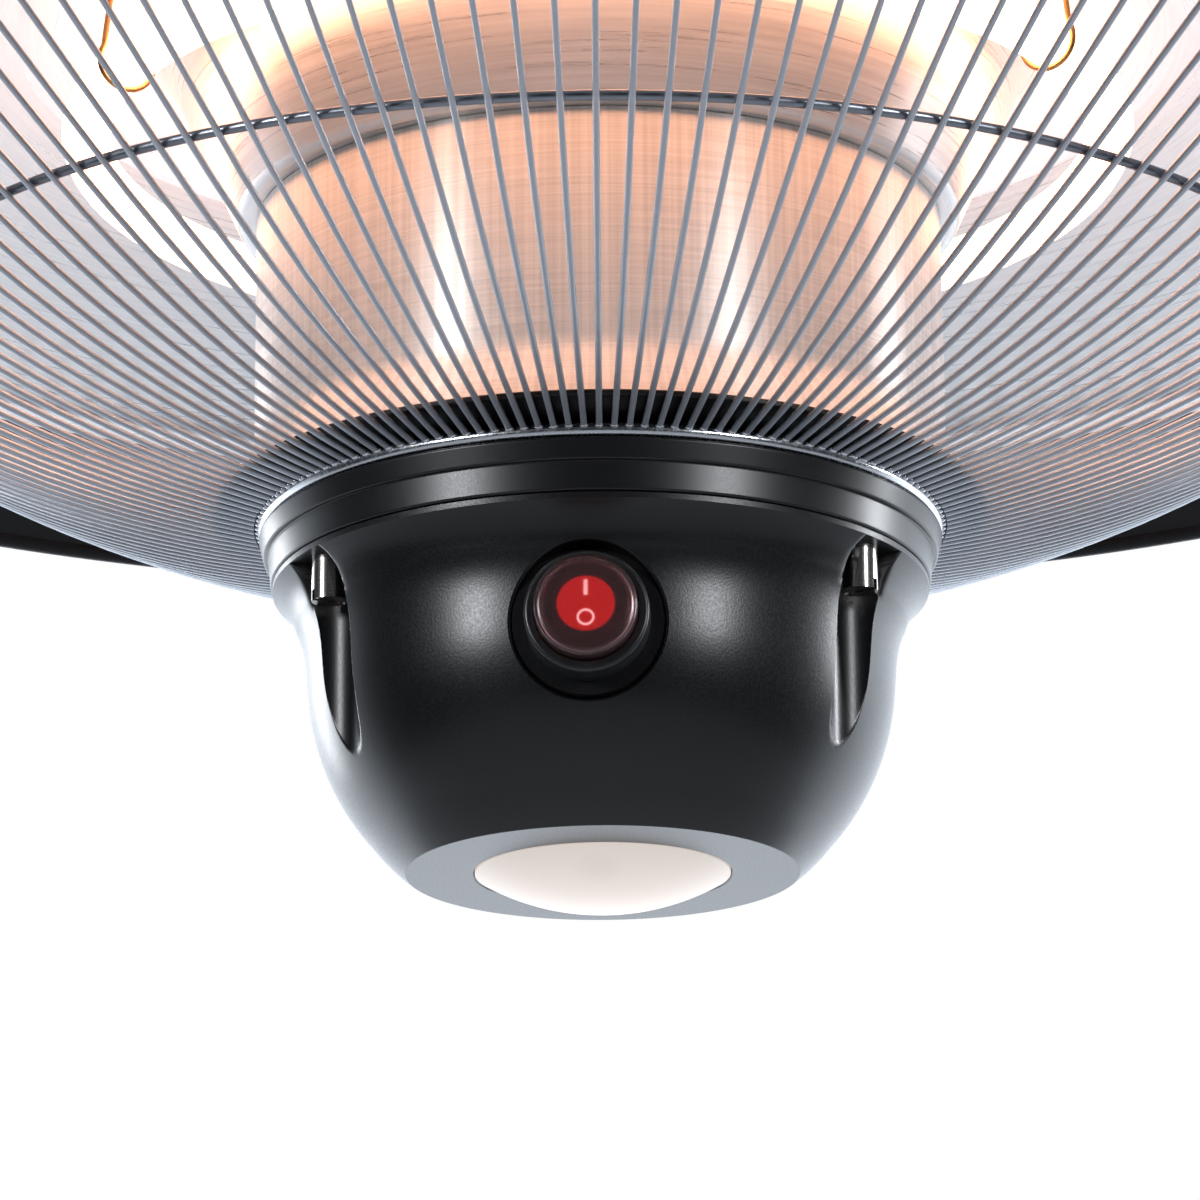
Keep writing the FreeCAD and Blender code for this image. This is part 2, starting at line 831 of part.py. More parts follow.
def path_normals(points):
    """Upward normals at the path's points, lengthened at bends so that the runs keep their thickness."""
    normals = []
    for i in range(len(points)):
        before = (points[i] - points[max(i - 1, 0)])
        after = (points[min(i + 1, len(points) - 1)] - points[i])
        before = before.normalize() if before.Length else after.normalize()
        after = after.normalize() if after.Length else before
        mean = (before + after).normalize()
        stretch = 1.0 / mean.dot(after)
        normals.append(Vector(-mean.z, 0, mean.x) * stretch)
    return normals


def guard_wire():
    """One wire as a slim prism that follows the path, flat to flat."""
    points = guard_path()
    normals = path_normals(points)
    sections = []
    for point, normal in zip(points, normals):
        ring = []
        for i in range(guard_wire_sides):
            angle = 2 * math.pi * (i + 0.5) / guard_wire_sides
            across = Vector(0, math.cos(angle), 0)
            ring.append(point + (across + normal * math.sin(angle)) * guard_wire_radius)
        sections.append(ring)
    faces = [polygon_face(sections[0]), polygon_face(sections[-1])]
    for low, high in zip(sections, sections[1:]):
        for i in range(guard_wire_sides):
            j = (i + 1) % guard_wire_sides
            faces.append(polygon_face([low[i], low[j], high[j], high[i]]))
    solid = Part.Solid(Part.Shell(faces))
    if solid.Volume < 0:
        solid.reverse()
    return from_side(solid, 0.0)


def polygon_face(corners):
    return Part.Face(Part.makePolygon(corners + [corners[0]]))


def guard_wires():
    return around(guard_wire(), guard_wire_count)


def ring_above_wire(index, rod):
    """A ring of round rod that lies on the wires at one of the path's points."""
    points = guard_path()
    normals = path_normals(points)
    centre = points[index] + normals[index].normalize() * (guard_wire_radius + rod + seat_gap)
    return Part.makeTorus(centre.x, rod, Vector(0, 0, centre.z), VERTICAL)


def guard_inner_ring():
    centre = Vector(0, 0, guard_z + guard_inner_rod + seat_gap)
    return Part.makeTorus(guard_inner_ring_radius, guard_inner_rod, centre, VERTICAL)


def guard_mid_ring():
    return ring_above_wire(-2, guard_mid_rod)


def guard_outer_ring():
    return ring_above_wire(-1, guard_outer_rod)


def guard_clip_leg_radius():
    return guard_outer_ring_radius + guard_clip_leg_gap


def guard_screw_ring_radius():
    return guard_clip_leg_radius() + guard_clip_hole


def guard_clip():
    """Bent strip screwed under the pan's rim, with a lip under the wires' outer ends."""
    leg = guard_clip_leg_radius()
    lip_end = leg - guard_clip_lip
    outer = guard_path()[-1]
    inner = guard_path()[-2]
    slope = (outer.z - inner.z) / (outer.x - inner.x)
    wire_low = outer.z - slope * (outer.x - lip_end) - guard_wire_radius * math.hypot(1.0, slope)
    lip_top = wire_low - seat_gap
    path = [(leg + guard_clip_tab, pan_rim_z), (leg, pan_rim_z), (leg, lip_top - guard_clip_wall),
            (lip_end, lip_top - guard_clip_wall)]
    face = sheet(path, 0, guard_clip_wall)
    strip = face.extrude(Vector(0, guard_clip_width, 0))
    strip.translate(Vector(0, -guard_clip_width / 2, 0))
    hole_foot = Vector(guard_screw_ring_radius(), 0, pan_rim_z - 2 * guard_clip_wall)
    return strip.cut(cylinder(guard_screw_radius + screw_clearance, 3 * guard_clip_wall, hole_foot))


def guard_clips():
    return [from_side(guard_clip(), azimuth) for azimuth in guard_clip_azimuths()]


def guard_clip_screws():
    length = guard_clip_wall + pan_wall + 2 * guard_screw_radius
    screws = []
    for azimuth in guard_clip_azimuths():
        seat = polar(guard_screw_ring_radius(), azimuth, pan_rim_z - guard_clip_wall)
        screws.append(screw(guard_screw_radius, length, seat, VERTICAL))
    return screws


# Collar tray and bowl

def collar_tray():
    inner = tray_neck_radius - tray_wall
    rim_low = tray_top_z - tray_rim_edge
    band_low = guard_z - tray_band_depth
    pairs = [(tray_hole_radius, tray_bottom_z), (tray_foot_radius, tray_bottom_z),
             (tray_step_radius, band_low), (tray_band_low_radius, band_low),
             (tray_band_radius, guard_z), (tray_neck_radius, guard_z),
             (tray_neck_radius, guard_z + tray_neck_top), (tray_rim_radius, rim_low),
             (tray_rim_radius, tray_top_z), (inner, tray_top_z), (inner, tray_floor_z),
             (tray_hole_radius, tray_floor_z)]
    shape = revolved(profile(pairs))
    holes = []
    for azimuth in stud_azimuths:
        foot = polar(stud_ring_radius, azimuth, tray_bottom_z)
        holes.append(cylinder(stud_radius + screw_clearance, tray_floor, foot))
    for spot in standoff_spots(tray_bottom_z):
        holes.append(cylinder(board_screw_radius + screw_clearance, tray_floor, spot))
    return shape.cut(holes)


def side_arc(start, end):
    """Arc that leaves its start upright and reaches its end; both are (radius, height)."""
    across = end[0] - start[0]
    rise = end[1] - start[1]
    radius = (across ** 2 + rise ** 2) / (2 * abs(across))
    half = math.asin(rise / radius) / 2
    toward = math.copysign(1.0, across)
    middle_r = start[0] + toward * radius * (1 - math.cos(half))
    middle = Vector(middle_r, 0, start[1] + radius * math.sin(half))
    return Part.Arc(Vector(start[0], 0, start[1]), middle, Vector(end[0], 0, end[1])).toShape()


def bowl_outside():
    lip_low = (bowl_lip_radius, channel_top_z)
    waist_top = (bowl_waist_radius, guard_z - bowl_waist_top)
    waist_low = (bowl_waist_radius, guard_z - bowl_waist_bottom)
    foot = (bowl_flat_radius, bowl_floor_z)
    corners = flat_points([(0, tray_bottom_z), (bowl_lip_radius, tray_bottom_z), lip_low])
    edges = [Part.makeLine(corners[0], corners[1]), Part.makeLine(corners[1], corners[2])]
    edges.append(side_arc(waist_top, lip_low))
    edges.append(Part.makeLine(*flat_points([waist_top, waist_low])))
    edges.append(side_arc(waist_low, foot))
    edges.append(Part.makeLine(*flat_points([foot, (0, bowl_floor_z)])))
    edges.append(Part.makeLine(*flat_points([(0, bowl_floor_z), (0, tray_bottom_z)])))
    return revolved(Part.Face(Part.Wire(Part.__sortEdges__(edges))))


def bowl_cavity():
    """Inside of the bowl: a straight throat, then a belly parallel to the outside."""
    belly = bowl_waist_radius - bowl_flat_radius
    depth = bowl_bottom - bowl_waist_bottom
    outer_arc = (belly ** 2 + depth ** 2) / (2 * belly)
    centre_r = bowl_waist_radius - outer_arc
    inner_arc = outer_arc - bowl_wall
    throat = bowl_waist_radius - bowl_wall
    low = depth - bowl_wall
    foot_r = centre_r + math.sqrt(inner_arc ** 2 - low ** 2)
    waist = (throat, guard_z - bowl_waist_bottom)
    foot = (foot_r, bowl_inside_z)
    edges = [Part.makeLine(*flat_points([(0, tray_bottom_z), (throat, tray_bottom_z)])),
             Part.makeLine(*flat_points([(throat, tray_bottom_z), waist])),
             side_arc(waist, foot),
             Part.makeLine(*flat_points([foot, (0, bowl_inside_z)])),
             Part.makeLine(*flat_points([(0, bowl_inside_z), (0, tray_bottom_z)]))]
    return revolved(Part.Face(Part.Wire(Part.__sortEdges__(edges))))


def lens_screw_spots(z):
    step = 360.0 / lens_screw_count
    return [polar(lens_screw_ring_radius, step * (i + 0.5), z) for i in range(lens_screw_count)]


def control_bowl():
    cavity = bowl_cavity()
    for azimuth in stud_azimuths:
        rib_base = polar(channel_ring_radius, azimuth, bowl_floor_z)
        cavity = cavity.cut(cylinder(channel_radius + channel_wall, bowl_bottom, rib_base))
    boss_back = well_reach - switch_boss_depth
    boss = cylinder(switch_boss_radius, bowl_waist_radius - boss_back, Vector(0, 0, boss_back))
    cavity = cavity.cut(to_front(boss))
    for spot in lens_screw_spots(bowl_inside_z):
        cavity = cavity.cut(cylinder(lens_screw_boss, lens_flange, spot))
    shape = bowl_outside().cut(cavity)
    cuts = []
    for azimuth in stud_azimuths:
        channel_base = polar(channel_ring_radius, azimuth, bowl_floor_z)
        cuts.append(cylinder(channel_radius, channel_top_z - bowl_floor_z, channel_base))
        hole_base = polar(stud_ring_radius, azimuth, channel_top_z)
        cuts.append(cylinder(stud_radius + screw_clearance, bowl_lip_height, hole_base))
    cuts.append(to_front(cylinder(well_radius, bowl_waist_radius, Vector(0, 0, well_reach))))
    hole = cylinder(switch_barrel_radius + screw_clearance, switch_boss_depth, Vector(0, 0, boss_back))
    cuts.append(to_front(hole))
    cuts.append(cylinder(lens_radius + lens_gap, bowl_wall, Vector(0, 0, bowl_floor_z)))
    for spot in lens_screw_spots(bowl_inside_z):
        cuts.append(cylinder(lens_screw_radius + running_gap, lens_flange, spot))
    return shape.cut(cuts)


def barrel_nuts():
    nuts = []
    for azimuth in stud_azimuths:
        bottom = channel_top_z - barrel_length
        base = polar(stud_ring_radius, azimuth, bottom)
        body = cylinder(barrel_radius, barrel_length, base)
        thread_base = polar(stud_ring_radius, azimuth, channel_top_z - barrel_thread_depth)
        body = body.cut(cylinder(stud_radius + running_gap, barrel_thread_depth, thread_base))
        slot_size = (barrel_slot_width, 2 * barrel_radius, barrel_slot_depth)
        slot = box(slot_size, Vector(0, -stud_ring_radius, 0), bottom)
        nuts.append(body.cut(turned(slot, azimuth)))
    return nuts


# Light in the bottom

def lens_dome(radius, sag, level):
    """Shallow arc from the axis up to a rim at the given level."""
    sphere = (radius ** 2 + sag ** 2) / (2 * sag)
    half = math.asin(radius / sphere) / 2
    middle = Vector(sphere * math.sin(half), 0, level - sag + sphere * (1 - math.cos(half)))
    return Part.Arc(Vector(0, 0, level - sag), middle, Vector(radius, 0, level)).toShape()


def light_lens():
    inner = lens_radius - lens_wall
    inner_level = bowl_floor_z + lens_wall / 2
    inner_low = inner_level - (bowl_floor_z - lens_sag + lens_wall)
    outline = [(lens_radius, bowl_floor_z), (lens_radius, bowl_inside_z), (lens_flange_radius, bowl_inside_z),
               (lens_flange_radius, lens_seat_z), (inner, lens_seat_z), (inner, inner_level)]
    points = flat_points(outline)
    edges = [Part.makeLine(a, b) for a, b in zip(points, points[1:])]
    edges.append(lens_dome(lens_radius, lens_sag, bowl_floor_z))
    edges.append(lens_dome(inner, inner_low, inner_level))
    low = Vector(0, 0, bowl_floor_z - lens_sag)
    edges.append(Part.makeLine(low, low + VERTICAL * lens_wall))
    return revolved(Part.Face(Part.Wire(Part.__sortEdges__(edges))))


def lens_retainer():
    ring = cylinder(retainer_radius, retainer_height, Vector(0, 0, lens_seat_z))
    ring = ring.cut(cylinder(retainer_bore_radius, retainer_height, Vector(0, 0, lens_seat_z)))
    for spot in lens_screw_spots(lens_seat_z):
        ring = ring.cut(cylinder(lens_screw_radius + screw_clearance, retainer_height, spot))
    return ring


def led_board():
    board = cylinder(retainer_radius, board_thickness, Vector(0, 0, retainer_top_z))
    for spot in lens_screw_spots(retainer_top_z):
        board = board.cut(cylinder(lens_screw_radius + screw_clearance, board_thickness, spot))
    return board


def lens_screws():
    length = board_thickness + retainer_height + lens_flange
    top = retainer_top_z + board_thickness
    return [screw(lens_screw_radius, length, spot, VERTICAL * -1) for spot in lens_screw_spots(top)]


def led_chips():
    size = (led_size, led_size, led_height)
    bottom = retainer_top_z - led_height
    chips = [box(size, Vector(), bottom)]
    chip = box(size, Vector(0, -led_ring_radius, 0), bottom)
    return chips + around(chip, led_count, 180.0 / led_count)


def ir_receiver():
    return box(receiver_size, Vector(0, -receiver_reach, 0), retainer_top_z - receiver_size[2])


# Rocker switch, built along +Z and turned to the front

def switch_housing():
    pairs = [(0, switch_barrel_reach), (switch_barrel_radius, switch_barrel_reach),
             (switch_barrel_radius, well_reach), (switch_flange_radius, well_reach),
             (switch_flange_radius, switch_front_reach), (switch_bore_radius, switch_front_reach),
             (switch_bore_radius, switch_front_reach - switch_bore_depth),
             (0, switch_front_reach - switch_bore_depth)]
    body = revolved(profile(pairs))
    reach = trunnion_reach + screw_clearance * 2
    socket_base = Vector(-reach, 0, pivot_reach)
    socket = cylinder(trunnion_radius + running_gap, 2 * reach, socket_base, Vector(1, 0, 0))
    return to_front(body.cut(socket))


def switch_lock_nut():
    front = well_reach - switch_boss_depth
    ring = cylinder(switch_nut_radius, switch_nut_height, Vector(0, 0, front - switch_nut_height))
    bore = cylinder(switch_barrel_radius + running_gap, front, Vector())
    return to_front(ring.cut(bore))


def switch_bezel():
    seat = switch_front_reach
    inner = boot_radius + 2 * seat_gap
    step = boot_flange_radius + 2 * seat_gap
    top = seat + bezel_height
    pairs = [(step, seat), (switch_flange_radius, seat), (switch_flange_radius, top), (inner, top),
             (inner, seat + boot_flange + seat_gap), (step, seat + boot_flange + seat_gap)]
    return to_front(revolved(profile(pairs, [0, 0, bezel_edge, 0, 0, 0])))


def switch_boot():
    seat = switch_front_reach
    front = seat + boot_height
    inner = boot_radius - boot_wall
    pairs = [(boot_flange_radius, seat), (boot_flange_radius, seat + boot_flange),
             (boot_radius, seat + boot_flange), (boot_radius, front), (0, front), (0, front - boot_wall),
             (inner, front - boot_wall), (inner, seat)]
    radii = [0, 0, 0, boot_edge, 0, 0, boot_edge - boot_wall / 2, 0]
    return to_front(revolved(profile(pairs, radii)))


def switch_rocker():
    face = switch_front_reach + boot_height - boot_wall - rocker_face_gap
    base = pivot_reach - rocker_base_depth
    shoulder = pivot_reach + trunnion_radius
    pairs = [(0, base), (rocker_base_radius, base), (rocker_base_radius, shoulder),
             (rocker_face_radius, face), (0, face)]
    body = revolved(profile(pairs, [0, rocker_base_edge, 0, rocker_face_edge, 0]))
    trunnion_base = Vector(-trunnion_reach, 0, pivot_reach)
    trunnions = cylinder(trunnion_radius, 2 * trunnion_reach, trunnion_base, Vector(1, 0, 0))
    body = body.fuse(trunnions)
    body.rotate(Vector(0, 0, pivot_reach), Vector(1, 0, 0), -rocker_throw)
    return to_front(body)


def switch_terminals():
    tabs = []
    size = (terminal_size, terminal_thickness, terminal_length)
    for i in (-1, 0, 1):
        centre = Vector(0, i * terminal_pitch, 0)
        tabs.append(to_front(box(size, centre, switch_barrel_reach - terminal_length)))
    return tabs


# Control board under the tray

def standoff_spots(z):
    step = 360.0 / standoff_count
    return [polar(standoff_ring_radius, standoff_start + step * i, z) for i in range(standoff_count)]


def control_board():
    bottom = control_board_z - board_thickness
    board = cylinder(control_board_radius, board_thickness, Vector(0, 0, bottom))
    for spot in standoff_spots(bottom):
        board = board.cut(cylinder(board_screw_radius + screw_clearance, board_thickness, spot))
    return board


def board_standoffs():
    posts = []
    for spot in standoff_spots(control_board_z):
        post = cylinder(standoff_radius, standoff_height, spot)
        posts.append(post.cut(cylinder(board_screw_radius + screw_clearance, standoff_height, spot)))
    return posts


def board_screws():
    length = board_thickness + standoff_height + tray_floor
    seats = standoff_spots(control_board_z - board_thickness)
    return [screw(board_screw_radius, length, seat, VERTICAL) for seat in seats]


def board_components():
    face = control_board_z - board_thickness
    relays = [box(relay_size, Vector(x, relay_offset, 0), face - relay_size[2]) for x in relay_columns]
    transformer = box(transformer_size, Vector(transformer_x, 0, 0), face - transformer_size[2])
    capacitor_base = Vector(capacitor_x, capacitor_y, face - capacitor_length)
    capacitor = cylinder(capacitor_radius, capacitor_length, capacitor_base)
    return relays + [transformer, capacitor]


def thermal_cutout():
    spot = Vector(cutout_offset, 0, tray_floor_z)
    disc = cylinder(cutout_radius, cutout_height, spot)
    cap = cylinder(cutout_cap_radius, cutout_cap_height, spot + VERTICAL * cutout_height)
    return disc.fuse(cap)


NODES = {
    "hanger_bail": hanger_bail,
    "hanger_bracket": hanger_bracket,
    "pivot_bolts": pivot_bolts,
    "pivot_nuts": pivot_nuts,
    "bracket_screws": bracket_screws,
    "bracket_nuts": bracket_nuts,
    "top_cap": top_cap,
    "cap_screws": cap_screws,
    "gland_body": gland_body,
    "gland_cap_nut": gland_cap_nut,
    "gland_locknut": gland_locknut,
    "hat_shade": hat_shade,
    "hat_grommet": hat_grommet,
    "terminal_block": terminal_block,
    "lead_sleeve": lead_sleeve,
    "reflector_pan": reflector_pan,
    "pan_spacers": pan_spacers,
    "pan_screws": pan_screws,
    "stud_sleeves": stud_sleeves,
    "mounting_studs": mounting_studs,
    "stud_nuts": stud_nuts,
    "core_tube": core_tube,
    "lamp_tube": lamp_tube,
    "lamp_filament": lamp_filament,
    "lamp_end_caps": lamp_end_caps,
    "lamp_clips": lamp_clips,
    "guard_wires": guard_wires,
    "guard_inner_ring": guard_inner_ring,
    "guard_mid_ring": guard_mid_ring,
    "guard_outer_ring": guard_outer_ring,
    "guard_clips": guard_clips,
    "guard_clip_screws": guard_clip_screws,
    "collar_tray": collar_tray,
    "control_bowl": control_bowl,
    "barrel_nuts": barrel_nuts,
    "light_lens": light_lens,
    "lens_retainer": lens_retainer,
    "lens_screws": lens_screws,
    "led_board": led_board,
    "led_chips": led_chips,
    "ir_receiver": ir_receiver,
    "switch_housing": switch_housing,
    "switch_lock_nut": switch_lock_nut,
    "switch_bezel": switch_bezel,
    "switch_boot": switch_boot,
    "switch_rocker": switch_rocker,
    "switch_terminals": switch_terminals,
    "control_board": control_board,
    "board_standoffs": board_standoffs,
    "board_screws": board_screws,
    "board_components": board_components,
    "thermal_cutout": thermal_cutout,
}


def main():
    os.makedirs("parts", exist_ok=True)
    for name, make in NODES.items():
        shape = make()
        if isinstance(shape, list):
            shape = Part.makeCompound(shape)
        shape.exportStep("parts/" + name + ".step")


main()
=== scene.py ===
import json
import math

import bmesh
import bpy
from mathutils import Matrix, Vector
from mathutils.geometry import delaunay_2d_cdt

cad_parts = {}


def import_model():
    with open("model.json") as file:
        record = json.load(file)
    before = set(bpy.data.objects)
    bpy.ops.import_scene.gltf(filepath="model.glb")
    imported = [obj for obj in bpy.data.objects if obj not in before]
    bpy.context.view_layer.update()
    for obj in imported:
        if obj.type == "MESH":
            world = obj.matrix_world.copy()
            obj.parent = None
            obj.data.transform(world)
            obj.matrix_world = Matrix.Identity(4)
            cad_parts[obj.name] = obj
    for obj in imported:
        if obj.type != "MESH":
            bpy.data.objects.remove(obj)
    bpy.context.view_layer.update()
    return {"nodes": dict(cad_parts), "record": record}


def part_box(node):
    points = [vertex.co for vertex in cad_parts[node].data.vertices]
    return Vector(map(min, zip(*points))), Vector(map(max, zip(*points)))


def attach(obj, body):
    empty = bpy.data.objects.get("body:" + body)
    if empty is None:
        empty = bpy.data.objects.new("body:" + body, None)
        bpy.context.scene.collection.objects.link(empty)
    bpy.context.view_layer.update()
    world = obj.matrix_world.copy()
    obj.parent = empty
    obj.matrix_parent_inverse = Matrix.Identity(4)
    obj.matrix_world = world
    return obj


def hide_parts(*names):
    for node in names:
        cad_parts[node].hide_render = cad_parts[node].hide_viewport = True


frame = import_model()

# Hanging patio heater. Shapes are written in millimetres, in the part's own frame, and made in metres.
# The front, with the switch, faces -Y. Azimuths count from the front towards +X.
MM = 0.001

# Meshes: points of round pieces, edges that stay sharp in degrees, and points beside a rounded corner
LARGE_ROUND = 256
SMALL_ROUND = 128
ROCKER_ROUND = 96
MARK_ROUND = 64
SHARP_EDGE = 38.0
SHARP_TUBE = 50.0
EDGE_SUPPORT = 0.03
SAME_PLACE = 0.0001
STRETCH_LIMIT = 0.3


def lowest(node):
    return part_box(node)[0] / MM


def highest(node):
    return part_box(node)[1] / MM


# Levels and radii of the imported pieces
BOWL_TOP = highest("control_bowl").z
BOWL_FLOOR = lowest("control_bowl").z
BOWL_LIP = highest("control_bowl").x
TRAY_TOP = highest("collar_tray").z
TRAY_RIM = highest("collar_tray").x
CORE_TOP = highest("core_tube").z
LENS_LOW = lowest("light_lens").z
SWITCH_Z = (lowest("switch_boot").z + highest("switch_boot").z) / 2
BOOT_FRONT = -lowest("switch_boot").y
BOOT_SEAT = -highest("switch_boot").y
BOOT_FLANGE_RADIUS = highest("switch_boot").x
BEZEL_RADIUS = highest("switch_bezel").x
BEZEL_FRONT = -lowest("switch_bezel").y

# Collar and guard seat
TRAY_DEPTH = 10.0
GUARD_Z = BOWL_TOP + TRAY_DEPTH
TRAY_NECK = 65.8
TRAY_NECK_TOP = 3.5
TRAY_BAND = 69.0
TRAY_BAND_LOW = 67.9
TRAY_BAND_DEPTH = 4.3
TRAY_STEP = 67.0
TRAY_FOOT = 66.4
TRAY_WALL = 2.0
TRAY_FLOOR = 1.6
TRAY_HOLE = 12.0
TRAY_RIM_EDGE = 1.1
TRAY_ROUND = 0.5

# Bowl
BOWL_LIP_HEIGHT = 1.4
BOWL_LIP_EDGE = 0.3
BOWL_ROW = 0.6
BOWL_INSIDE_ROWS = 10
BOWL_WAIST = 59.0
BOWL_WAIST_TOP = GUARD_Z - 26.0
BOWL_WAIST_LOW = GUARD_Z - 29.0
BOWL_BLEND = 7.0
BLEND_STEPS = 12
BOWL_FLAT = 39.2
BOWL_WALL = 2.5
BOWL_INSIDE = 52.0
BOWL_EDGE = 0.5
CHANNEL_CIRCLE = 61.0
CHANNEL_RADIUS = 7.1
CHANNEL_ROUND = 0.8
CHANNEL_AZIMUTHS = (-60.0, 60.0, 180.0)
CHANNEL_SPAN = 15.0
CHANNEL_COLUMNS = 36
CHANNEL_COLUMN = 0.15
CHANNEL_EDGE_COLUMN = 0.045
CHANNEL_EDGE_START = 5.4
WELL_RADIUS = 14.6
WELL_ROUND = 0.85
WELL_MARGIN = 0.6
WELL_CLEAR = 0.5
WELL_ROUND_STEPS = (22.5, 45.0, 67.5, 90.0)
WELL_REACH = 56.8
WELL_HOLE = 10.0
WELL_WINDOW = 19.0
LENS_RADIUS = 25.4
LENS_GAP = 0.2
LENS_FLANGE = 30.0
RECEIVER_REACH = 20.0
LENS_WALL = 2.0

# Switch: reaches are distances from the heater's axis towards the front
SWITCH_GAP = 0.2
LEDGE_GAP = 0.1
BEZEL_EDGE = 0.8
BOOT_RADIUS = 9.9
BOOT_WALL = 0.9
BOOT_FLANGE = 1.0
BOOT_EDGE = 1.6
ROCKER_PIVOT = BOOT_SEAT - 2.7
ROCKER_BASE = 6.9
ROCKER_BASE_REACH = ROCKER_PIVOT - 2.5
ROCKER_SHOULDER = ROCKER_PIVOT + 1.2
ROCKER_FACE = 5.5
ROCKER_FACE_REACH = BOOT_FRONT - BOOT_WALL - 1.5
ROCKER_CAP = 0.8
ROCKER_BASE_EDGE = 1.0
ROCKER_CAP_EDGE = 0.4
ROCKER_TILT = 6.0
MARK_OFFSET = 3.05
MARK_HEIGHT = 3.1
MARK_WIDTH = 0.75
MARK_RING = 1.7
MARK_STROKE = 0.45
MARK_RAISE = 0.06
GRID_PITCH = 0.5

# Guard
WIRE_RADIUS = 0.65
WIRE_COUNT = 150
INNER_CIRCLE = 67.6
INNER_ROD = 1.5
WIRE_START = (69.8, GUARD_Z + 2.25)
WIRE_MIDDLE = (153.0, GUARD_Z + 35.0)
WIRE_END = (238.0, GUARD_Z + 86.0)
WELD_SIZE = (1.0, 0.95, 0.75)
WELD_CIRCLE = 68.9
WELD_Z = GUARD_Z + 2.2
MID_ROD = 1.0
OUTER_ROD = 1.75
SEAT_GAP = 0.1

# Core and reflector
CORE_RADIUS = 70.0
CORE_WALL = 1.2
CORE_EDGE = 0.5
CORE_FOOT = 77.0
CORE_FOOT_HEIGHT = 11.5
CORE_FOOT_BEND = 9.0
PAN_WALL = 1.0
PAN_BORE = 46.0
PAN_THROAT = 73.5
PAN_THROAT_BEND = 2.5
PAN_CROWN = (91.0, 120.0)
PAN_CROWN_Z = highest("reflector_pan").z - PAN_WALL
PAN_RIM = (228.0, highest("reflector_pan").x)
PAN_RIM_Z = lowest("pan_spacers").z - PAN_WALL
PAN_BEND = 6.0

# Hat
HAT_WALL = 1.5
HAT_ROLL = 2.5
HAT_BEND = 8.0
HAT_TOP = highest("hat_shade").z
HAT_BORE = highest("hat_grommet").x - 1.0
HAT_FLAT = highest("top_cap").x + 6.0
HAT_LAND = (226.0, 262.0)
HAT_LAND_Z = HAT_TOP - 33.0
HAT_RADIUS = highest("hat_shade").x - HAT_ROLL
HAT_RIM_Z = lowest("hat_shade").z + HAT_ROLL

# Lamp clips: wire loops round the tube, hung from the reflector
LAMP_Z = (lowest("lamp_tube").z + highest("lamp_tube").z) / 2
LAMP_TUBE = (highest("lamp_tube").z - lowest("lamp_tube").z) / 2
LAMP_RING = highest("lamp_tube").x - LAMP_TUBE
CLIP_WIRE = 0.6
CLIP_LOOP = LAMP_TUBE + CLIP_WIRE + 0.1
CLIP_TOP = highest("lamp_clips").z
CLIP_AZIMUTHS = (-150.0, -60.0, 60.0, 150.0)
CLIP_SWEEP = (150.0, 390.0)
CLIP_TAIL = (1.9, 1.1)
CLIP_STEM = 0.5

# Floor, well below the heater
FLOOR_Z = GUARD_Z - 2400.0
FLOOR_RADIUS = 4500.0

# Lights: azimuth and elevation in degrees, width and height in millimetres, power in watts
LIGHT_DISTANCE = 1500.0
LIGHT_COLOR = (0.93, 0.96, 1.0)
LIGHTS = {
    "left_key": (-45.0, 9.0, (320.0, 400.0), 12.0),
    "right_key": (44.0, 9.0, (300.0, 400.0), 10.0),
    "left_rim": (-138.0, 12.0, (300.0, 900.0), 6.5),
    "right_rim": (108.0, 12.0, (140.0, 700.0), 12.0),
}

# Surroundings: dim in front of the heater and bright behind it
WORLD_FRONT = 0.04
WORLD_BACK = 2.4
WORLD_TURN = (0.15, 0.7)
WORLD_TINT = (0.84, 0.91, 1.0, 1.0)

# Camera, solved from the photograph
CAMERA_AZIMUTH = 2.5
CAMERA_DISTANCE = 1118.0
CAMERA_Z = GUARD_Z - 345.0
CAMERA_PITCH = 0.2893
CAMERA_ROLL = -0.0068
CAMERA_LENS = 173.9
CAMERA_SENSOR = 36.0
CAMERA_CLIP = 100.0
CAMERA_SHIFT = -0.0008


# Small builders

def polar(radius, azimuth, z):
    angle = math.radians(azimuth)
    return Vector((radius * math.sin(angle), -radius * math.cos(angle), z))


def arc(centre, radius, start, end, steps):
    """Points of an arc in the profile plane; angles in degrees."""
    points = []
    for i in range(steps + 1):
        angle = math.radians(start + (end - start) * i / steps)
        points.append((centre[0] + radius * math.cos(angle), centre[1] + radius * math.sin(angle)))
    return points


def rounded(points, radii, steps=5, closed=False):
    """A path in the profile plane with rounded corners and a point close to each side of them."""
    out = []
    count = len(points)
    for i, point in enumerate(points):
        is_end = not closed and i in (0, count - 1)
        if radii[i] == 0 or is_end:
            out.append(point)
            continue
        corner = Vector(point)
        back = (Vector(points[i - 1]) - corner).normalized()
        ahead = (Vector(points[(i + 1) % count]) - corner).normalized()
        half = back.angle(ahead) / 2
        centre = corner + (back + ahead).normalized() * (radii[i] / math.sin(half))
        run = radii[i] / math.tan(half)
        first = (corner + back * run - centre).normalized()
        last = (corner + ahead * run - centre).normalized()
        out.append(tuple(corner + back * (run + EDGE_SUPPORT)))
        for k in range(steps + 1):
            out.append(tuple(centre + first.slerp(last, k / steps) * radii[i]))
        out.append(tuple(corner + ahead * (run + EDGE_SUPPORT)))
    return out


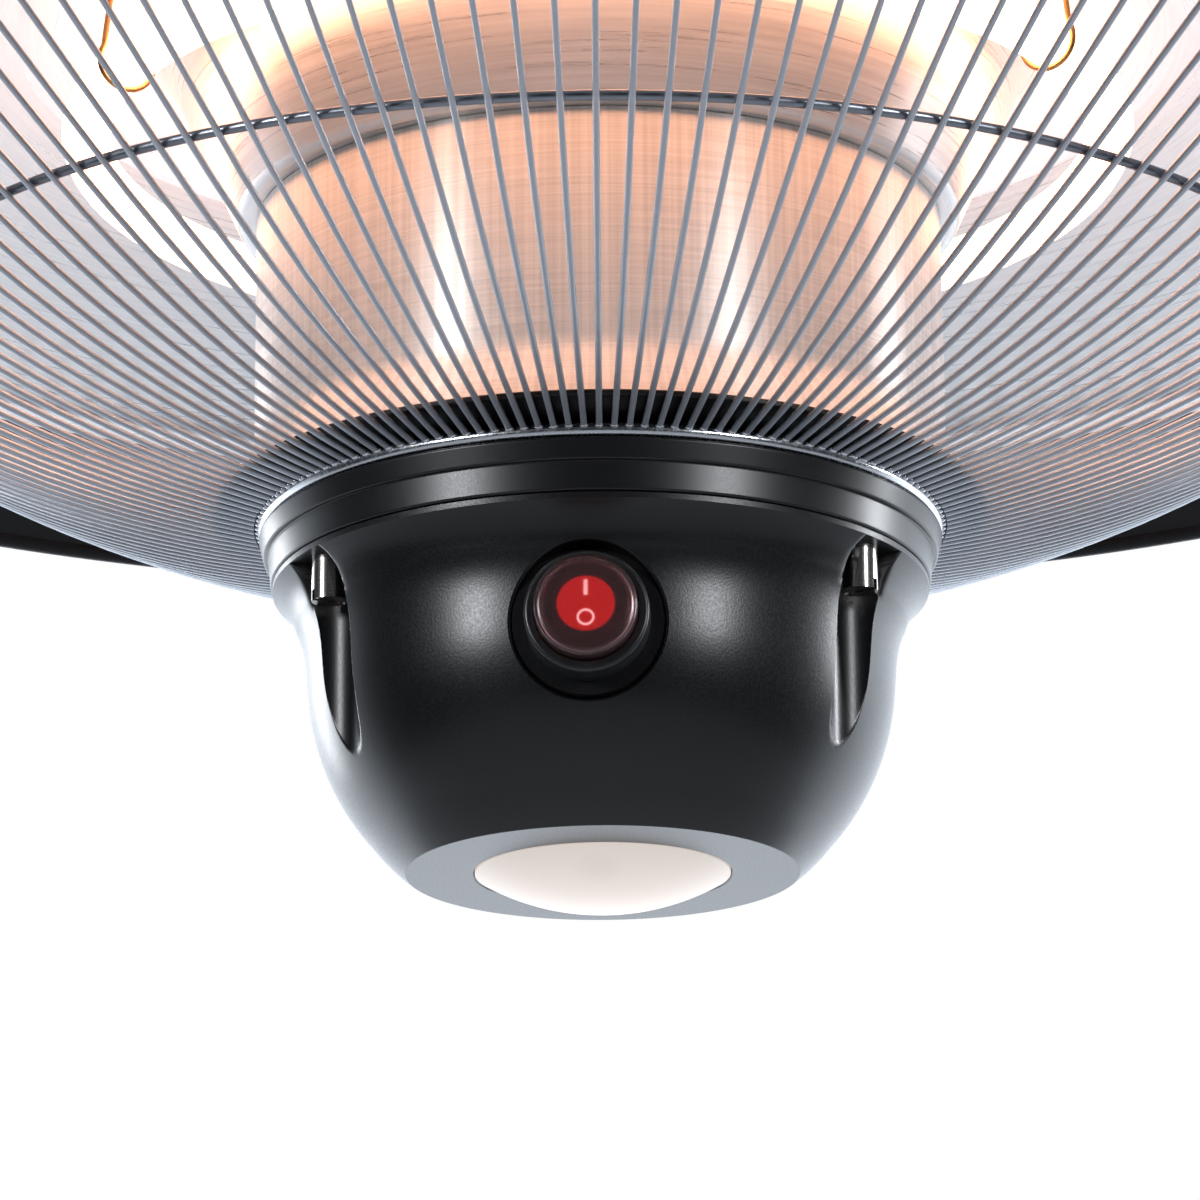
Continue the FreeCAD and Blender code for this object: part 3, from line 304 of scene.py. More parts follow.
def offset(path, distance):
    """The path moved to its left, for the other face of a sheet."""
    out = []
    for i, point in enumerate(path):
        before = Vector(point) - Vector(path[max(i - 1, 0)])
        after = Vector(path[min(i + 1, len(path) - 1)]) - Vector(point)
        before = before.normalized() if before.length else after.normalized()
        after = after.normalized() if after.length else before
        mean = (before + after).normalized()
        stretch = distance / max(mean.dot(after), STRETCH_LIMIT)
        out.append((point[0] - mean.y * stretch, point[1] + mean.x * stretch))
    return out


def mesh_object(name, verts, faces):
    mesh = bpy.data.meshes.new(name)
    mesh.from_pydata([Vector(v) * MM for v in verts], [], faces)
    work = bmesh.new()
    work.from_mesh(mesh)
    bmesh.ops.remove_doubles(work, verts=work.verts, dist=SAME_PLACE * MM)
    bmesh.ops.recalc_face_normals(work, faces=work.faces)
    work.to_mesh(mesh)
    work.free()
    mesh.polygons.foreach_set("use_smooth", [True] * len(mesh.polygons))
    mesh.set_sharp_from_angle(angle=math.radians(SHARP_EDGE))
    made = bpy.data.objects.new(name, mesh)
    bpy.context.scene.collection.objects.link(made)
    return made


def revolve(name, outline, segments):
    """Turns a closed outline in the profile plane about the vertical axis."""
    verts = []
    rings = []
    for radius, z in outline:
        if radius < 1e-6:
            rings.append([len(verts)] * segments)
            verts.append((0, 0, z))
            continue
        rings.append(range(len(verts), len(verts) + segments))
        verts += [polar(radius, 360.0 * i / segments, z) for i in range(segments)]
    faces = []
    for low, high in zip(rings, rings[1:] + rings[:1]):
        for i in range(segments):
            j = (i + 1) % segments
            corners = list(dict.fromkeys((low[i], low[j], high[j], high[i])))
            if len(corners) > 2:
                faces.append(corners)
    return mesh_object(name, verts, faces)


def tube(name, paths, radius, closed=False, resolution=3):
    """Round wires along paths of points, as one mesh."""
    curve = bpy.data.curves.new(name, "CURVE")
    curve.dimensions = "3D"
    curve.bevel_depth = radius * MM
    curve.bevel_resolution = resolution
    curve.use_fill_caps = True
    for path in paths:
        spline = curve.splines.new("POLY")
        spline.points.add(len(path) - 1)
        for point, place in zip(spline.points, path):
            point.co = (*(Vector(place) * MM), 1.0)
        spline.use_cyclic_u = closed
    holder = bpy.data.objects.new(name + "_line", curve)
    bpy.context.scene.collection.objects.link(holder)
    bpy.context.view_layer.update()
    graph = bpy.context.evaluated_depsgraph_get()
    mesh = bpy.data.meshes.new_from_object(holder.evaluated_get(graph))
    bpy.data.objects.remove(holder)
    mesh.polygons.foreach_set("use_smooth", [True] * len(mesh.polygons))
    mesh.set_sharp_from_angle(angle=math.radians(SHARP_TUBE))
    made = bpy.data.objects.new(name, mesh)
    bpy.context.scene.collection.objects.link(made)
    return made


def circle(radius, z):
    return [polar(radius, 360.0 * i / LARGE_ROUND, z) for i in range(LARGE_ROUND)]


def to_front(made, tilt=0.0):
    """Turns a piece built upwards, with +Y as its top, to face the front at the switch's height."""
    pivot = Matrix.Translation((0, 0, ROCKER_PIVOT * MM))
    tipped = pivot @ Matrix.Rotation(-math.radians(tilt), 4, "X") @ pivot.inverted()
    turned = Matrix.Rotation(math.pi / 2, 4, "X") @ tipped
    made.data.transform(Matrix.Translation((0, 0, SWITCH_Z * MM)) @ turned)
    return made


def dress(made, material, body="heater", nodes=()):
    made.data.materials.clear()
    made.data.materials.append(material)
    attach(made, body)
    if nodes:
        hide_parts(*nodes)


# Shader helpers

def feed(tree, socket, value):
    if isinstance(value, bpy.types.NodeSocket):
        tree.links.new(value, socket)
    else:
        socket.default_value = value


def add(tree, kind, inputs=(), **settings):
    node = tree.nodes.new("ShaderNode" + kind)
    for name, value in settings.items():
        setattr(node, name, value)
    for name, value in dict(inputs).items():
        feed(tree, node.inputs[name], value)
    return node


def math_node(tree, operation, first, second=0.0):
    return add(tree, "Math", {0: first, 1: second}, operation=operation).outputs[0]


def new_material(name, color, roughness, metallic=0.0):
    material = bpy.data.materials.new(name)
    material.use_nodes = True
    tree = material.node_tree
    shader = tree.nodes["Principled BSDF"]
    shader.inputs["Base Color"].default_value = (*color, 1.0)
    shader.inputs["Roughness"].default_value = roughness
    shader.inputs["Metallic"].default_value = metallic
    return material, tree, shader


def place(tree):
    return add(tree, "TexCoord").outputs["Object"]


def noise(tree, vector, scale, detail=2.0):
    return add(tree, "TexNoise", {"Vector": vector, "Scale": scale, "Detail": detail}).outputs[0]


def spread(tree, value, low, high, start=0.3, end=0.7):
    """Maps a value's middle stretch to a range."""
    inputs = {"Value": value, "From Min": start, "From Max": end, "To Min": low, "To Max": high}
    return add(tree, "MapRange", inputs).outputs[0]


def bump(tree, shader, height, strength, distance):
    inputs = {"Height": height, "Strength": strength, "Distance": distance * MM}
    tree.links.new(add(tree, "Bump", inputs).outputs[0], shader.inputs["Normal"])


def ramp(tree, value, stops):
    node = add(tree, "ValToRGB", {0: value})
    elements = node.color_ramp.elements
    while len(elements) < len(stops):
        elements.new(0.5)
    for element, (position, color) in zip(elements, stops):
        element.position = position
        element.color = (*color, 1.0)
    return node.outputs[0]


def around_axis(tree):
    """Angle about the axis, distance from it and height, in radians and metres."""
    parts = add(tree, "SeparateXYZ", {0: place(tree)}).outputs
    angle = math_node(tree, "ARCTAN2", parts[1], parts[0])
    squares = math_node(tree, "ADD", math_node(tree, "MULTIPLY", parts[0], parts[0]),
                        math_node(tree, "MULTIPLY", parts[1], parts[1]))
    return angle, math_node(tree, "SQRT", squares), parts[2]


def streaks(tree, across, along, fine, long, detail=3.0):
    """Noise drawn out along one direction, as brushing and spinning leave it."""
    vector = add(tree, "CombineXYZ", {0: math_node(tree, "MULTIPLY", across, fine),
                                      1: math_node(tree, "MULTIPLY", along, long)}).outputs[0]
    return noise(tree, vector, 1.0, detail)


# Materials

def satin_black():
    material, tree, shader = new_material("bowl_satin_black", (0.003, 0.003, 0.0035), 0.3)
    grain = noise(tree, place(tree), 2000.0, 1.0)
    feed(tree, shader.inputs["Roughness"], spread(tree, grain, 0.29, 0.35))
    bump(tree, shader, grain, 0.16, 0.1)
    return material


def gloss_black():
    material, tree, shader = new_material("collar_black", (0.003, 0.003, 0.0035), 0.24)
    grain = noise(tree, place(tree), 3200.0, 3.0)
    feed(tree, shader.inputs["Roughness"], spread(tree, grain, 0.3, 0.36))
    bump(tree, shader, grain, 0.05, 0.1)
    return material


def powder_black():
    material, tree, shader = new_material("hat_powder_black", (0.008, 0.008, 0.01), 0.5)
    shader.inputs["Specular IOR Level"].default_value = 0.25
    grain = noise(tree, place(tree), 1500.0, 3.0)
    feed(tree, shader.inputs["Roughness"], spread(tree, grain, 0.42, 0.6))
    bump(tree, shader, grain, 0.3, 0.1)
    return material


def guard_steel():
    material, tree, shader = new_material("guard_steel", (0.46, 0.49, 0.54), 0.36, 0.6)
    drawn = noise(tree, place(tree), 300.0, 1.0)
    feed(tree, shader.inputs["Roughness"], spread(tree, drawn, 0.32, 0.4))
    return material


def ring_steel():
    material, tree, shader = new_material("ring_steel", (0.62, 0.64, 0.67), 0.22, 1.0)
    drawn = noise(tree, place(tree), 1200.0, 2.0)
    feed(tree, shader.inputs["Roughness"], spread(tree, drawn, 0.16, 0.3))
    return material


def zinc_steel():
    material, tree, shader = new_material("zinc_steel", (0.58, 0.59, 0.6), 0.35, 1.0)
    mottle = noise(tree, place(tree), 260.0, 4.0)
    tint = ramp(tree, mottle, [(0.3, (0.5, 0.51, 0.53)), (0.7, (0.68, 0.68, 0.67))])
    feed(tree, shader.inputs["Base Color"], tint)
    feed(tree, shader.inputs["Roughness"], spread(tree, mottle, 0.26, 0.42))
    return material


def brushed_aluminium():
    """Brushed round its axis, so that lights draw upright stripes on it. Its colour holds painted light:
    lighter towards the bottom, with a warm tint that is partly painted orange lamp light.
    """
    material, tree, shader = new_material("core_brushed", (0.8, 0.78, 0.76), 0.42, 0.5)
    angle, _, height = around_axis(tree)
    lines = streaks(tree, height, angle, 1800.0, 2.0)
    broad = streaks(tree, angle, height, 60.0, 3.0, 2.0)
    fine_share = math_node(tree, "MULTIPLY", lines, 0.5)
    mixed = math_node(tree, "ADD", fine_share, math_node(tree, "MULTIPLY", broad, 0.5))
    # Painted light: the core is made lighter and warmer towards the bottom, standing in for the lamp's light
    # there.
    painted_light_by_height = spread(tree, height, 0.12, -0.12, TRAY_TOP * MM, CORE_TOP * MM)
    mixed = math_node(tree, "ADD", mixed, painted_light_by_height)
    # The warm end of this tint is partly painted orange lamp light.
    tint = ramp(tree, mixed, [(0.25, (0.56, 0.53, 0.5)), (0.75, (0.94, 0.89, 0.85))])
    feed(tree, shader.inputs["Base Color"], tint)
    feed(tree, shader.inputs["Roughness"], spread(tree, lines, 0.38, 0.46))
    shader.inputs["Anisotropic"].default_value = 0.9
    shader.inputs["Anisotropic Rotation"].default_value = 0.25
    tangent = add(tree, "Tangent", direction_type="RADIAL", axis="Z").outputs[0]
    feed(tree, shader.inputs["Tangent"], tangent)
    return material


def spun_aluminium():
    material, tree, shader = new_material("pan_spun", (0.8, 0.79, 0.78), 0.3, 0.6)
    angle, radius, height = around_axis(tree)
    level = math_node(tree, "ADD", radius, height)
    lines = streaks(tree, level, angle, 900.0, 1.6, 4.0)
    tint = ramp(tree, lines, [(0.3, (0.66, 0.65, 0.65)), (0.7, (0.8, 0.8, 0.8))])
    feed(tree, shader.inputs["Base Color"], tint)
    feed(tree, shader.inputs["Roughness"], spread(tree, lines, 0.25, 0.38))
    bump(tree, shader, lines, 0.05, 0.08)
    return material


def bright_metal(name, color, roughness):
    material, tree, shader = new_material(name, color, roughness, 1.0)
    worn = noise(tree, place(tree), 350.0, 2.0)
    feed(tree, shader.inputs["Roughness"], spread(tree, worn, roughness * 0.8, roughness * 1.2))
    return material


def nickel():
    material, tree, shader = new_material("barrel_nickel", (0.66, 0.62, 0.58), 0.16, 1.0)
    _, _, height = around_axis(tree)
    turned = add(tree, "TexNoise", {"W": math_node(tree, "MULTIPLY", height, 5200.0), "Scale": 1.0},
                 noise_dimensions="1D").outputs[0]
    feed(tree, shader.inputs["Roughness"], spread(tree, turned, 0.1, 0.24))
    bump(tree, shader, turned, 0.15, 0.03)
    return material


def glowing(name, color, strength, low=1.0, high=1.0, scale=400.0):
    material, tree, shader = new_material(name, (0.9, 0.8, 0.7), 0.3)
    shader.inputs["Emission Color"].default_value = (*color, 1.0)
    shimmer = noise(tree, place(tree), scale, 2.0)
    feed(tree, shader.inputs["Emission Strength"], spread(tree, shimmer, strength * low, strength * high))
    return material


def lens_white():
    """Frosted lens lit from behind, with the receiver as a faint spot near its front edge."""
    material, tree, shader = new_material("lens_warm_white", (0.3, 0.29, 0.28), 0.4)
    shader.inputs["Specular IOR Level"].default_value = 0.2
    _, radius, _ = around_axis(tree)
    glow = spread(tree, radius, 0.72, 0.58, 0.2 * LENS_RADIUS * MM, LENS_RADIUS * MM)
    spot = add(tree, "VectorMath", {0: place(tree), 1: (0.0, -RECEIVER_REACH * MM, LENS_LOW * MM)},
               operation="DISTANCE").outputs["Value"]
    shade = spread(tree, spot, 0.88, 1.0, 1.5 * MM, 7.0 * MM)
    shader.inputs["Emission Color"].default_value = (1.0, 0.88, 0.8, 1.0)
    feed(tree, shader.inputs["Emission Strength"], math_node(tree, "MULTIPLY", glow, shade))
    return material


def lit_red():
    """See-through red of the rocker's face, glowing a little from the lamp behind it."""
    material, tree, shader = new_material("rocker_red", (0.7, 0.015, 0.012), 0.3)
    parts = add(tree, "SeparateXYZ", {0: place(tree)}).outputs
    turns = 2 * math.pi / (GRID_PITCH * MM)
    across = math_node(tree, "SINE", math_node(tree, "MULTIPLY", parts[0], turns))
    along = math_node(tree, "SINE", math_node(tree, "MULTIPLY", parts[2], turns))
    grid = math_node(tree, "ADD", across, along)
    shader.inputs["Emission Color"].default_value = (0.85, 0.012, 0.01, 1.0)
    feed(tree, shader.inputs["Emission Strength"], spread(tree, grid, 0.8, 1.1, -2.0, 2.0))
    return material


def plastic(name, color, roughness, scale=500.0):
    material, tree, shader = new_material(name, color, roughness)
    grain = noise(tree, place(tree), scale, 2.0)
    feed(tree, shader.inputs["Roughness"], spread(tree, grain, roughness * 0.85, roughness * 1.2))
    bump(tree, shader, grain, 0.08, 0.05)
    return material


def clear_plastic(name, color, roughness):
    material, tree, shader = new_material(name, color, roughness)
    shader.inputs["Transmission Weight"].default_value = 0.95
    shader.inputs["IOR"].default_value = 1.42
    grain = noise(tree, place(tree), 500.0, 2.0)
    bump(tree, shader, grain, 0.05, 0.05)
    return material


SATIN_BLACK = satin_black()
GLOSS_BLACK = gloss_black()
POWDER_BLACK = powder_black()
GUARD_STEEL = guard_steel()
RING_STEEL = ring_steel()
ZINC_STEEL = zinc_steel()
BRUSHED = brushed_aluminium()
SPUN = spun_aluminium()
NICKEL = nickel()
# Painted shade: the middle and outer rings get a darker steel colour for the shadow they sit in behind the
# wires.
SHADED_RING_STEEL = bright_metal("ring_steel_painted_shade", (0.26, 0.28, 0.32), 0.35)
# Painted light: the clips' orange colour is the lamp's orange glow painted onto the wire.
LAMP_LIT_WIRE = bright_metal("clip_painted_lamp_glow", (0.75, 0.4, 0.16), 0.35)
SWITCH_BLACK = plastic("switch_black", (0.008, 0.008, 0.009), 0.35)
GLAND_BLACK = plastic("gland_black", (0.02, 0.02, 0.022), 0.5)
GREY_RUBBER = plastic("grey_rubber", (0.05, 0.05, 0.05), 0.7)
WHITE_PLASTIC = plastic("white_plastic", (0.8, 0.8, 0.77), 0.4)
BOARD_GREEN = plastic("board_green", (0.03, 0.16, 0.07), 0.35, 900.0)
COMPONENT_BLACK = plastic("component_black", (0.03, 0.03, 0.035), 0.45)
CERAMIC = plastic("ceramic_white", (0.82, 0.8, 0.75), 0.55, 900.0)
ROCKER_RED = lit_red()
ROCKER_DARK = plastic("rocker_dark", (0.03, 0.004, 0.005), 0.35)
MARK_WHITE = glowing("mark_white", (1.0, 0.82, 0.8), 2.2)
BOOT_CLEAR = clear_plastic("boot_clear", (0.5, 0.26, 0.27), 0.26)
LENS_GLOW = lens_white()
LED_YELLOW = glowing("led_yellow", (1.0, 0.8, 0.45), 2.0)
BRASS = plastic("terminal_brass", (0.75, 0.6, 0.3), 0.3)
LAMP_GLOW = glowing("lamp_quartz_glow", (1.0, 0.47, 0.27), 7.5, 0.7, 1.3, 600.0)
FILAMENT = glowing("filament_white_hot", (1.0, 0.62, 0.4), 12.0)


# Guard

def wire_path(steps=10):
    """Points of one wire: a gentle arc to the middle ring and a straight run beyond."""
    start = Vector(WIRE_START)
    middle = Vector(WIRE_MIDDLE)
    end = Vector(WIRE_END)
    chord = middle - start
    straight = end - middle
    chord_angle = math.atan2(chord.y, chord.x)
    bend = 2 * (math.atan2(straight.y, straight.x) - chord_angle)
    radius = chord.length / (2 * math.sin(bend / 2))
    first = chord_angle - bend / 2
    points = []
    for i in range(steps + 1):
        angle = first + bend * i / steps
        step = Vector((math.sin(angle) - math.sin(first), math.cos(first) - math.cos(angle)))
        points.append(start + step * radius)
    return points + [end]


def guard_wires():
    path = wire_path()
    paths = []
    for i in range(WIRE_COUNT):
        paths.append([polar(p.x, 360.0 * i / WIRE_COUNT, p.y) for p in path])
    dress(tube("wires", paths, WIRE_RADIUS), GUARD_STEEL, nodes=["guard_wires"])


def ring_on_wires(index, rod):
    path = wire_path()
    run = (path[index] - path[index - 1]).normalized()
    centre = path[index] + Vector((-run.y, run.x)) * (WIRE_RADIUS + rod + SEAT_GAP)
    return circle(centre.x, centre.y)


def guard_rings():
    inner = [circle(INNER_CIRCLE, GUARD_Z + INNER_ROD + SEAT_GAP)]
    made = tube("inner_ring", inner, INNER_ROD, True, 5)
    dress(made, RING_STEEL, nodes=["guard_inner_ring"])
    # The middle and outer rings take the darker steel, which is painted shade.
    middle = [ring_on_wires(-2, MID_ROD)]
    dress(tube("middle_ring", middle, MID_ROD, True), SHADED_RING_STEEL, nodes=["guard_mid_ring"])
    outer = [ring_on_wires(-1, OUTER_ROD)]
    dress(tube("outer_ring", outer, OUTER_ROD, True), SHADED_RING_STEEL, nodes=["guard_outer_ring"])


def guard_welds():
    """A small nugget where each wire meets the inner ring."""
    work = bmesh.new()
    bmesh.ops.create_icosphere(work, subdivisions=2, radius=1.0)
    ball = [v.co.copy() for v in work.verts]
    ball_faces = [[v.index for v in f.verts] for f in work.faces]
    work.free()
    verts = []
    faces = []
    for i in range(WIRE_COUNT):
        azimuth = 360.0 * i / WIRE_COUNT
        turn = Matrix.Rotation(math.radians(azimuth), 3, "Z")
        first = len(verts)
        centre = polar(WELD_CIRCLE, azimuth, WELD_Z)
        verts += [centre + turn @ Vector([c * s for c, s in zip(co, WELD_SIZE)]) for co in ball]
        faces += [[first + k for k in face] for face in ball_faces]
    dress(mesh_object("welds", verts, faces), RING_STEEL)


# Core, collar and shades

def core():
    foot = (CORE_FOOT, TRAY_TOP)
    bend = (CORE_RADIUS, TRAY_TOP + CORE_FOOT_HEIGHT)
    wall = rounded([foot, bend, (CORE_RADIUS, CORE_TOP - CORE_EDGE)], [0, CORE_FOOT_BEND, 0], 8)
    edge = arc((CORE_RADIUS - CORE_EDGE, CORE_TOP - CORE_EDGE), CORE_EDGE, 0.0, 90.0, 5)[1:]
    inside = offset(wall, CORE_WALL)[::-1]
    made = revolve("core", wall + edge + inside, LARGE_ROUND)
    dress(made, BRUSHED, nodes=["core_tube"])


def reflector():
    points = [(PAN_BORE, CORE_TOP), (PAN_THROAT, CORE_TOP), (PAN_CROWN[0], PAN_CROWN_Z)]
    points += [(PAN_CROWN[1], PAN_CROWN_Z), (PAN_RIM[0], PAN_RIM_Z), (PAN_RIM[1], PAN_RIM_Z)]
    under = rounded(points, [0, PAN_THROAT_BEND, PAN_BEND, PAN_BEND, PAN_BEND, 0], 10)
    outline = under + offset(under, PAN_WALL)[::-1]
    dress(revolve("reflector", outline, LARGE_ROUND), SPUN, nodes=["reflector_pan"])


def hat():
    points = [(HAT_BORE, HAT_TOP), (HAT_FLAT, HAT_TOP), (HAT_LAND[0], HAT_LAND_Z)]
    points += [(HAT_LAND[1], HAT_LAND_Z), (HAT_RADIUS, HAT_RIM_Z)]
    above = rounded(points, [0, HAT_BEND, HAT_BEND, HAT_BEND, 0], 10)
    outline = above + offset(above, -HAT_WALL)[::-1]
    dress(revolve("hat", outline, LARGE_ROUND), POWDER_BLACK, nodes=["hat_shade"])
    rim = tube("hat_rim", [circle(HAT_RADIUS, HAT_RIM_Z)], HAT_ROLL, True, 5)
    dress(rim, POWDER_BLACK)


def lamp_clips():
    paths = []
    for azimuth in CLIP_AZIMUTHS:
        loop = arc((LAMP_RING, LAMP_Z), CLIP_LOOP, CLIP_SWEEP[0], CLIP_SWEEP[1], 24)
        path = [(LAMP_RING - CLIP_TAIL[0] * CLIP_LOOP, LAMP_Z + CLIP_TAIL[1] * CLIP_LOOP)] + loop
        path.append((LAMP_RING + CLIP_LOOP * CLIP_STEM, CLIP_TOP))
        paths.append([polar(radius, azimuth, z) for radius, z in path])
    # The clips' orange colour is painted lamp light.
    dress(tube("clip_wires", paths, CLIP_WIRE), LAMP_LIT_WIRE, nodes=["lamp_clips"])


def collar():
    low = TRAY_TOP - TRAY_RIM_EDGE
    inner = TRAY_NECK - TRAY_WALL
    band_low = GUARD_Z - TRAY_BAND_DEPTH
    neck_top = GUARD_Z + TRAY_NECK_TOP
    points = [(TRAY_HOLE, BOWL_TOP), (TRAY_FOOT, BOWL_TOP), (TRAY_STEP, band_low)]
    points += [(TRAY_BAND_LOW, band_low), (TRAY_BAND, GUARD_Z), (TRAY_NECK, GUARD_Z), (TRAY_NECK, neck_top)]
    points += [(TRAY_RIM, low), (TRAY_RIM, TRAY_TOP), (inner, TRAY_TOP)]
    points += [(inner, BOWL_TOP + TRAY_FLOOR), (TRAY_HOLE, BOWL_TOP + TRAY_FLOOR)]
    edge = TRAY_ROUND
    radii = [0, edge, edge * 0.5, edge, edge, 0, 0, edge * 0.6, edge * 0.6, 0, 0, 0]
    outline = rounded(points, radii, 4, closed=True)
    dress(revolve("collar", outline, LARGE_ROUND), GLOSS_BLACK, nodes=["collar_tray"])


# Bowl with its scooped channels and the switch's well

def arc_radius(z):
    """Outside radius of the bowl's arcs: the flare above the waist and the belly below it."""
    if z >= BOWL_WAIST_TOP:
        across = BOWL_LIP - BOWL_WAIST
        rise = BOWL_TOP - BOWL_LIP_HEIGHT - BOWL_WAIST_TOP
        flare = (across ** 2 + rise ** 2) / (2 * across)
        return BOWL_WAIST + flare - math.sqrt(flare ** 2 - min(z - BOWL_WAIST_TOP, rise) ** 2)
    if z >= BOWL_WAIST_LOW:
        return BOWL_WAIST
    across = BOWL_WAIST - BOWL_FLAT
    drop = BOWL_WAIST_LOW - BOWL_FLOOR
    belly = (across ** 2 + drop ** 2) / (2 * across)
    return BOWL_WAIST - belly + math.sqrt(belly ** 2 - (BOWL_WAIST_LOW - z) ** 2)


def bowl_radius(z):
    """Outside radius of the bowl without its cuts, with its arcs blended into each other."""
    half = max(0.0, min(BOWL_BLEND, z - BOWL_FLOOR, BOWL_TOP - BOWL_LIP_HEIGHT - z))
    samples = [arc_radius(z + half * (2 * i / BLEND_STEPS - 1)) for i in range(BLEND_STEPS + 1)]
    return sum(samples) / len(samples)


def channelled(radius, azimuth):
    """Outside radius where a channel with rounded edges is cut into a round wall."""
    for channel in CHANNEL_AZIMUTHS:
        turn = abs((azimuth - channel + 180.0) % 360.0 - 180.0)
        if turn > CHANNEL_SPAN or radius + CHANNEL_RADIUS <= CHANNEL_CIRCLE:
            continue
        inward = radius - CHANNEL_ROUND
        reach = CHANNEL_RADIUS + CHANNEL_ROUND
        cosine = (CHANNEL_CIRCLE ** 2 + inward ** 2 - reach ** 2) / (2 * CHANNEL_CIRCLE * inward)
        edge = math.acos(min(1.0, cosine))
        angle = math.radians(turn)
        if angle >= edge:
            continue
        lip = CHANNEL_ROUND ** 2 - (inward * math.sin(edge - angle)) ** 2
        side = CHANNEL_RADIUS ** 2 - (CHANNEL_CIRCLE * math.sin(angle)) ** 2
        floor = CHANNEL_CIRCLE * math.cos(angle) - math.sqrt(max(side, 0.0))
        if lip > 0:
            floor = max(floor, inward * math.cos(edge - angle) + math.sqrt(lip))
        return min(radius, floor)
    return radius


def bowl_azimuths():
    """Azimuths of the bowl's columns, close together across the channels."""
    found = {float(a) for a in range(-180, 180)}
    for channel in CHANNEL_AZIMUTHS:
        turns = [CHANNEL_COLUMN * i for i in range(CHANNEL_COLUMNS)]
        turns += [CHANNEL_EDGE_START + CHANNEL_EDGE_COLUMN * i for i in range(CHANNEL_COLUMNS)]
        for turn in turns:
            for side in (-1, 1):
                azimuth = (channel + side * turn + 180.0) % 360.0 - 180.0
                found.add(round(azimuth, 4))
    return sorted(found)


def bowl_rows():
    """Rows of the bowl's closed outline as (radius, height, whether the channels cut it)."""
    rows = [(BOWL_LIP - BOWL_LIP_EDGE, BOWL_TOP, False), (BOWL_LIP, BOWL_TOP - BOWL_LIP_EDGE, False)]
    channel_top = BOWL_TOP - BOWL_LIP_HEIGHT
    rows.append((BOWL_LIP, channel_top, False))
    count = int((channel_top - BOWL_FLOOR) / BOWL_ROW)
    heights = [channel_top - BOWL_ROW * i for i in range(count)]
    rows += [(bowl_radius(z), z, True) for z in heights]
    hole = LENS_RADIUS + LENS_GAP
    inside = BOWL_FLOOR + BOWL_WALL
    above = (bowl_radius(heights[-1]), heights[-1])
    corners = [above, (BOWL_FLAT, BOWL_FLOOR), (hole, BOWL_FLOOR), (hole, inside)]
    turned = rounded(corners, [0, BOWL_EDGE, BOWL_EDGE, 0], 4)
    rows += [(radius, z, False) for radius, z in turned[1:]]
    for i in range(1, BOWL_INSIDE_ROWS + 1):
        z = inside + (BOWL_TOP - inside) * i / BOWL_INSIDE_ROWS
        rows.append((min(BOWL_INSIDE, bowl_radius(z) - BOWL_WALL), z, False))
    return rows


def window_faces(verts, keep, border, ring):
    """Triangles between a border and a round hole, found in the front view."""
    chosen = border + keep + ring
    flat = [Vector((verts[i].x, verts[i].z)) for i in chosen]
    loop = len(border)
    first_ring = loop + len(keep)
    edges = [(i, (i + 1) % loop) for i in range(loop)]
    count = len(ring)
    edges += [(first_ring + i, first_ring + (i + 1) % count) for i in range(count)]
    _, _, faces, sources, _, _ = delaunay_2d_cdt(flat, edges, [], 1, 1e-7)
    found = []
    for face in faces:
        corners = [sources[i][0] for i in face]
        if all(c >= first_ring for c in corners):
            continue
        found.append([chosen[c] for c in corners])
    return found


def ring_points(radius, reach):
    """Points of a circle round the switch's axis, at a reach that may depend on the place."""
    points = []
    for i in range(SMALL_ROUND):
        angle = 2 * math.pi * i / SMALL_ROUND
        x = radius * math.cos(angle)
        z = SWITCH_Z + radius * math.sin(angle)
        points.append(Vector((x, -reach(x, z), z)))
    return points


def outside_reach(x, z):
    return math.sqrt(bowl_radius(z) ** 2 - x ** 2)


def inside_reach(x, z):
    return math.sqrt(min(BOWL_INSIDE, bowl_radius(z) - BOWL_WALL) ** 2 - x ** 2)


def open_window(verts, faces, grid, rows, columns, hole_radius, reach):
    """Replaces a patch of the grid by triangles round a hole and gives the hole's ring."""
    top, bottom = rows
    left, right = columns
    border = [grid[top][c] for c in range(left, right)]
    border += [grid[r][right] for r in range(top, bottom)]
    border += [grid[bottom][c] for c in range(right, left, -1)]
    border += [grid[r][left] for r in range(bottom, top, -1)]
    margin = hole_radius + WELL_CLEAR
    keep = []
    for r in range(top + 1, bottom):
        for c in range(left + 1, right):
            point = verts[grid[r][c]]
            if math.hypot(point.x, point.z - SWITCH_Z) > margin:
                keep.append(grid[r][c])
    ring = list(range(len(verts), len(verts) + SMALL_ROUND))
    verts += ring_points(hole_radius, reach)
    faces += window_faces(verts, keep, border, ring)
    return ring


def bridge(faces, first, second):
    count = len(first)
    for i in range(count):
        j = (i + 1) % count
        faces.append([first[i], first[j], second[j], second[i]])


def add_ring(verts, faces, last, radius, reach):
    """Adds a ring round the switch's axis and joins it to the ring before it."""
    ring = list(range(len(verts), len(verts) + SMALL_ROUND))
    verts += ring_points(radius, reach)
    bridge(faces, last, ring)
    return ring


def sunk_reach(scale, sink):
    """The wall's outside as it is at the mouth's edge, set back by a depth."""
    def reach(x, z):
        return outside_reach(x * scale, SWITCH_Z + (z - SWITCH_Z) * scale) - sink
    return reach


def well_floor(x, z):
    """The well's flat floor, which has one reach everywhere."""
    return WELL_REACH


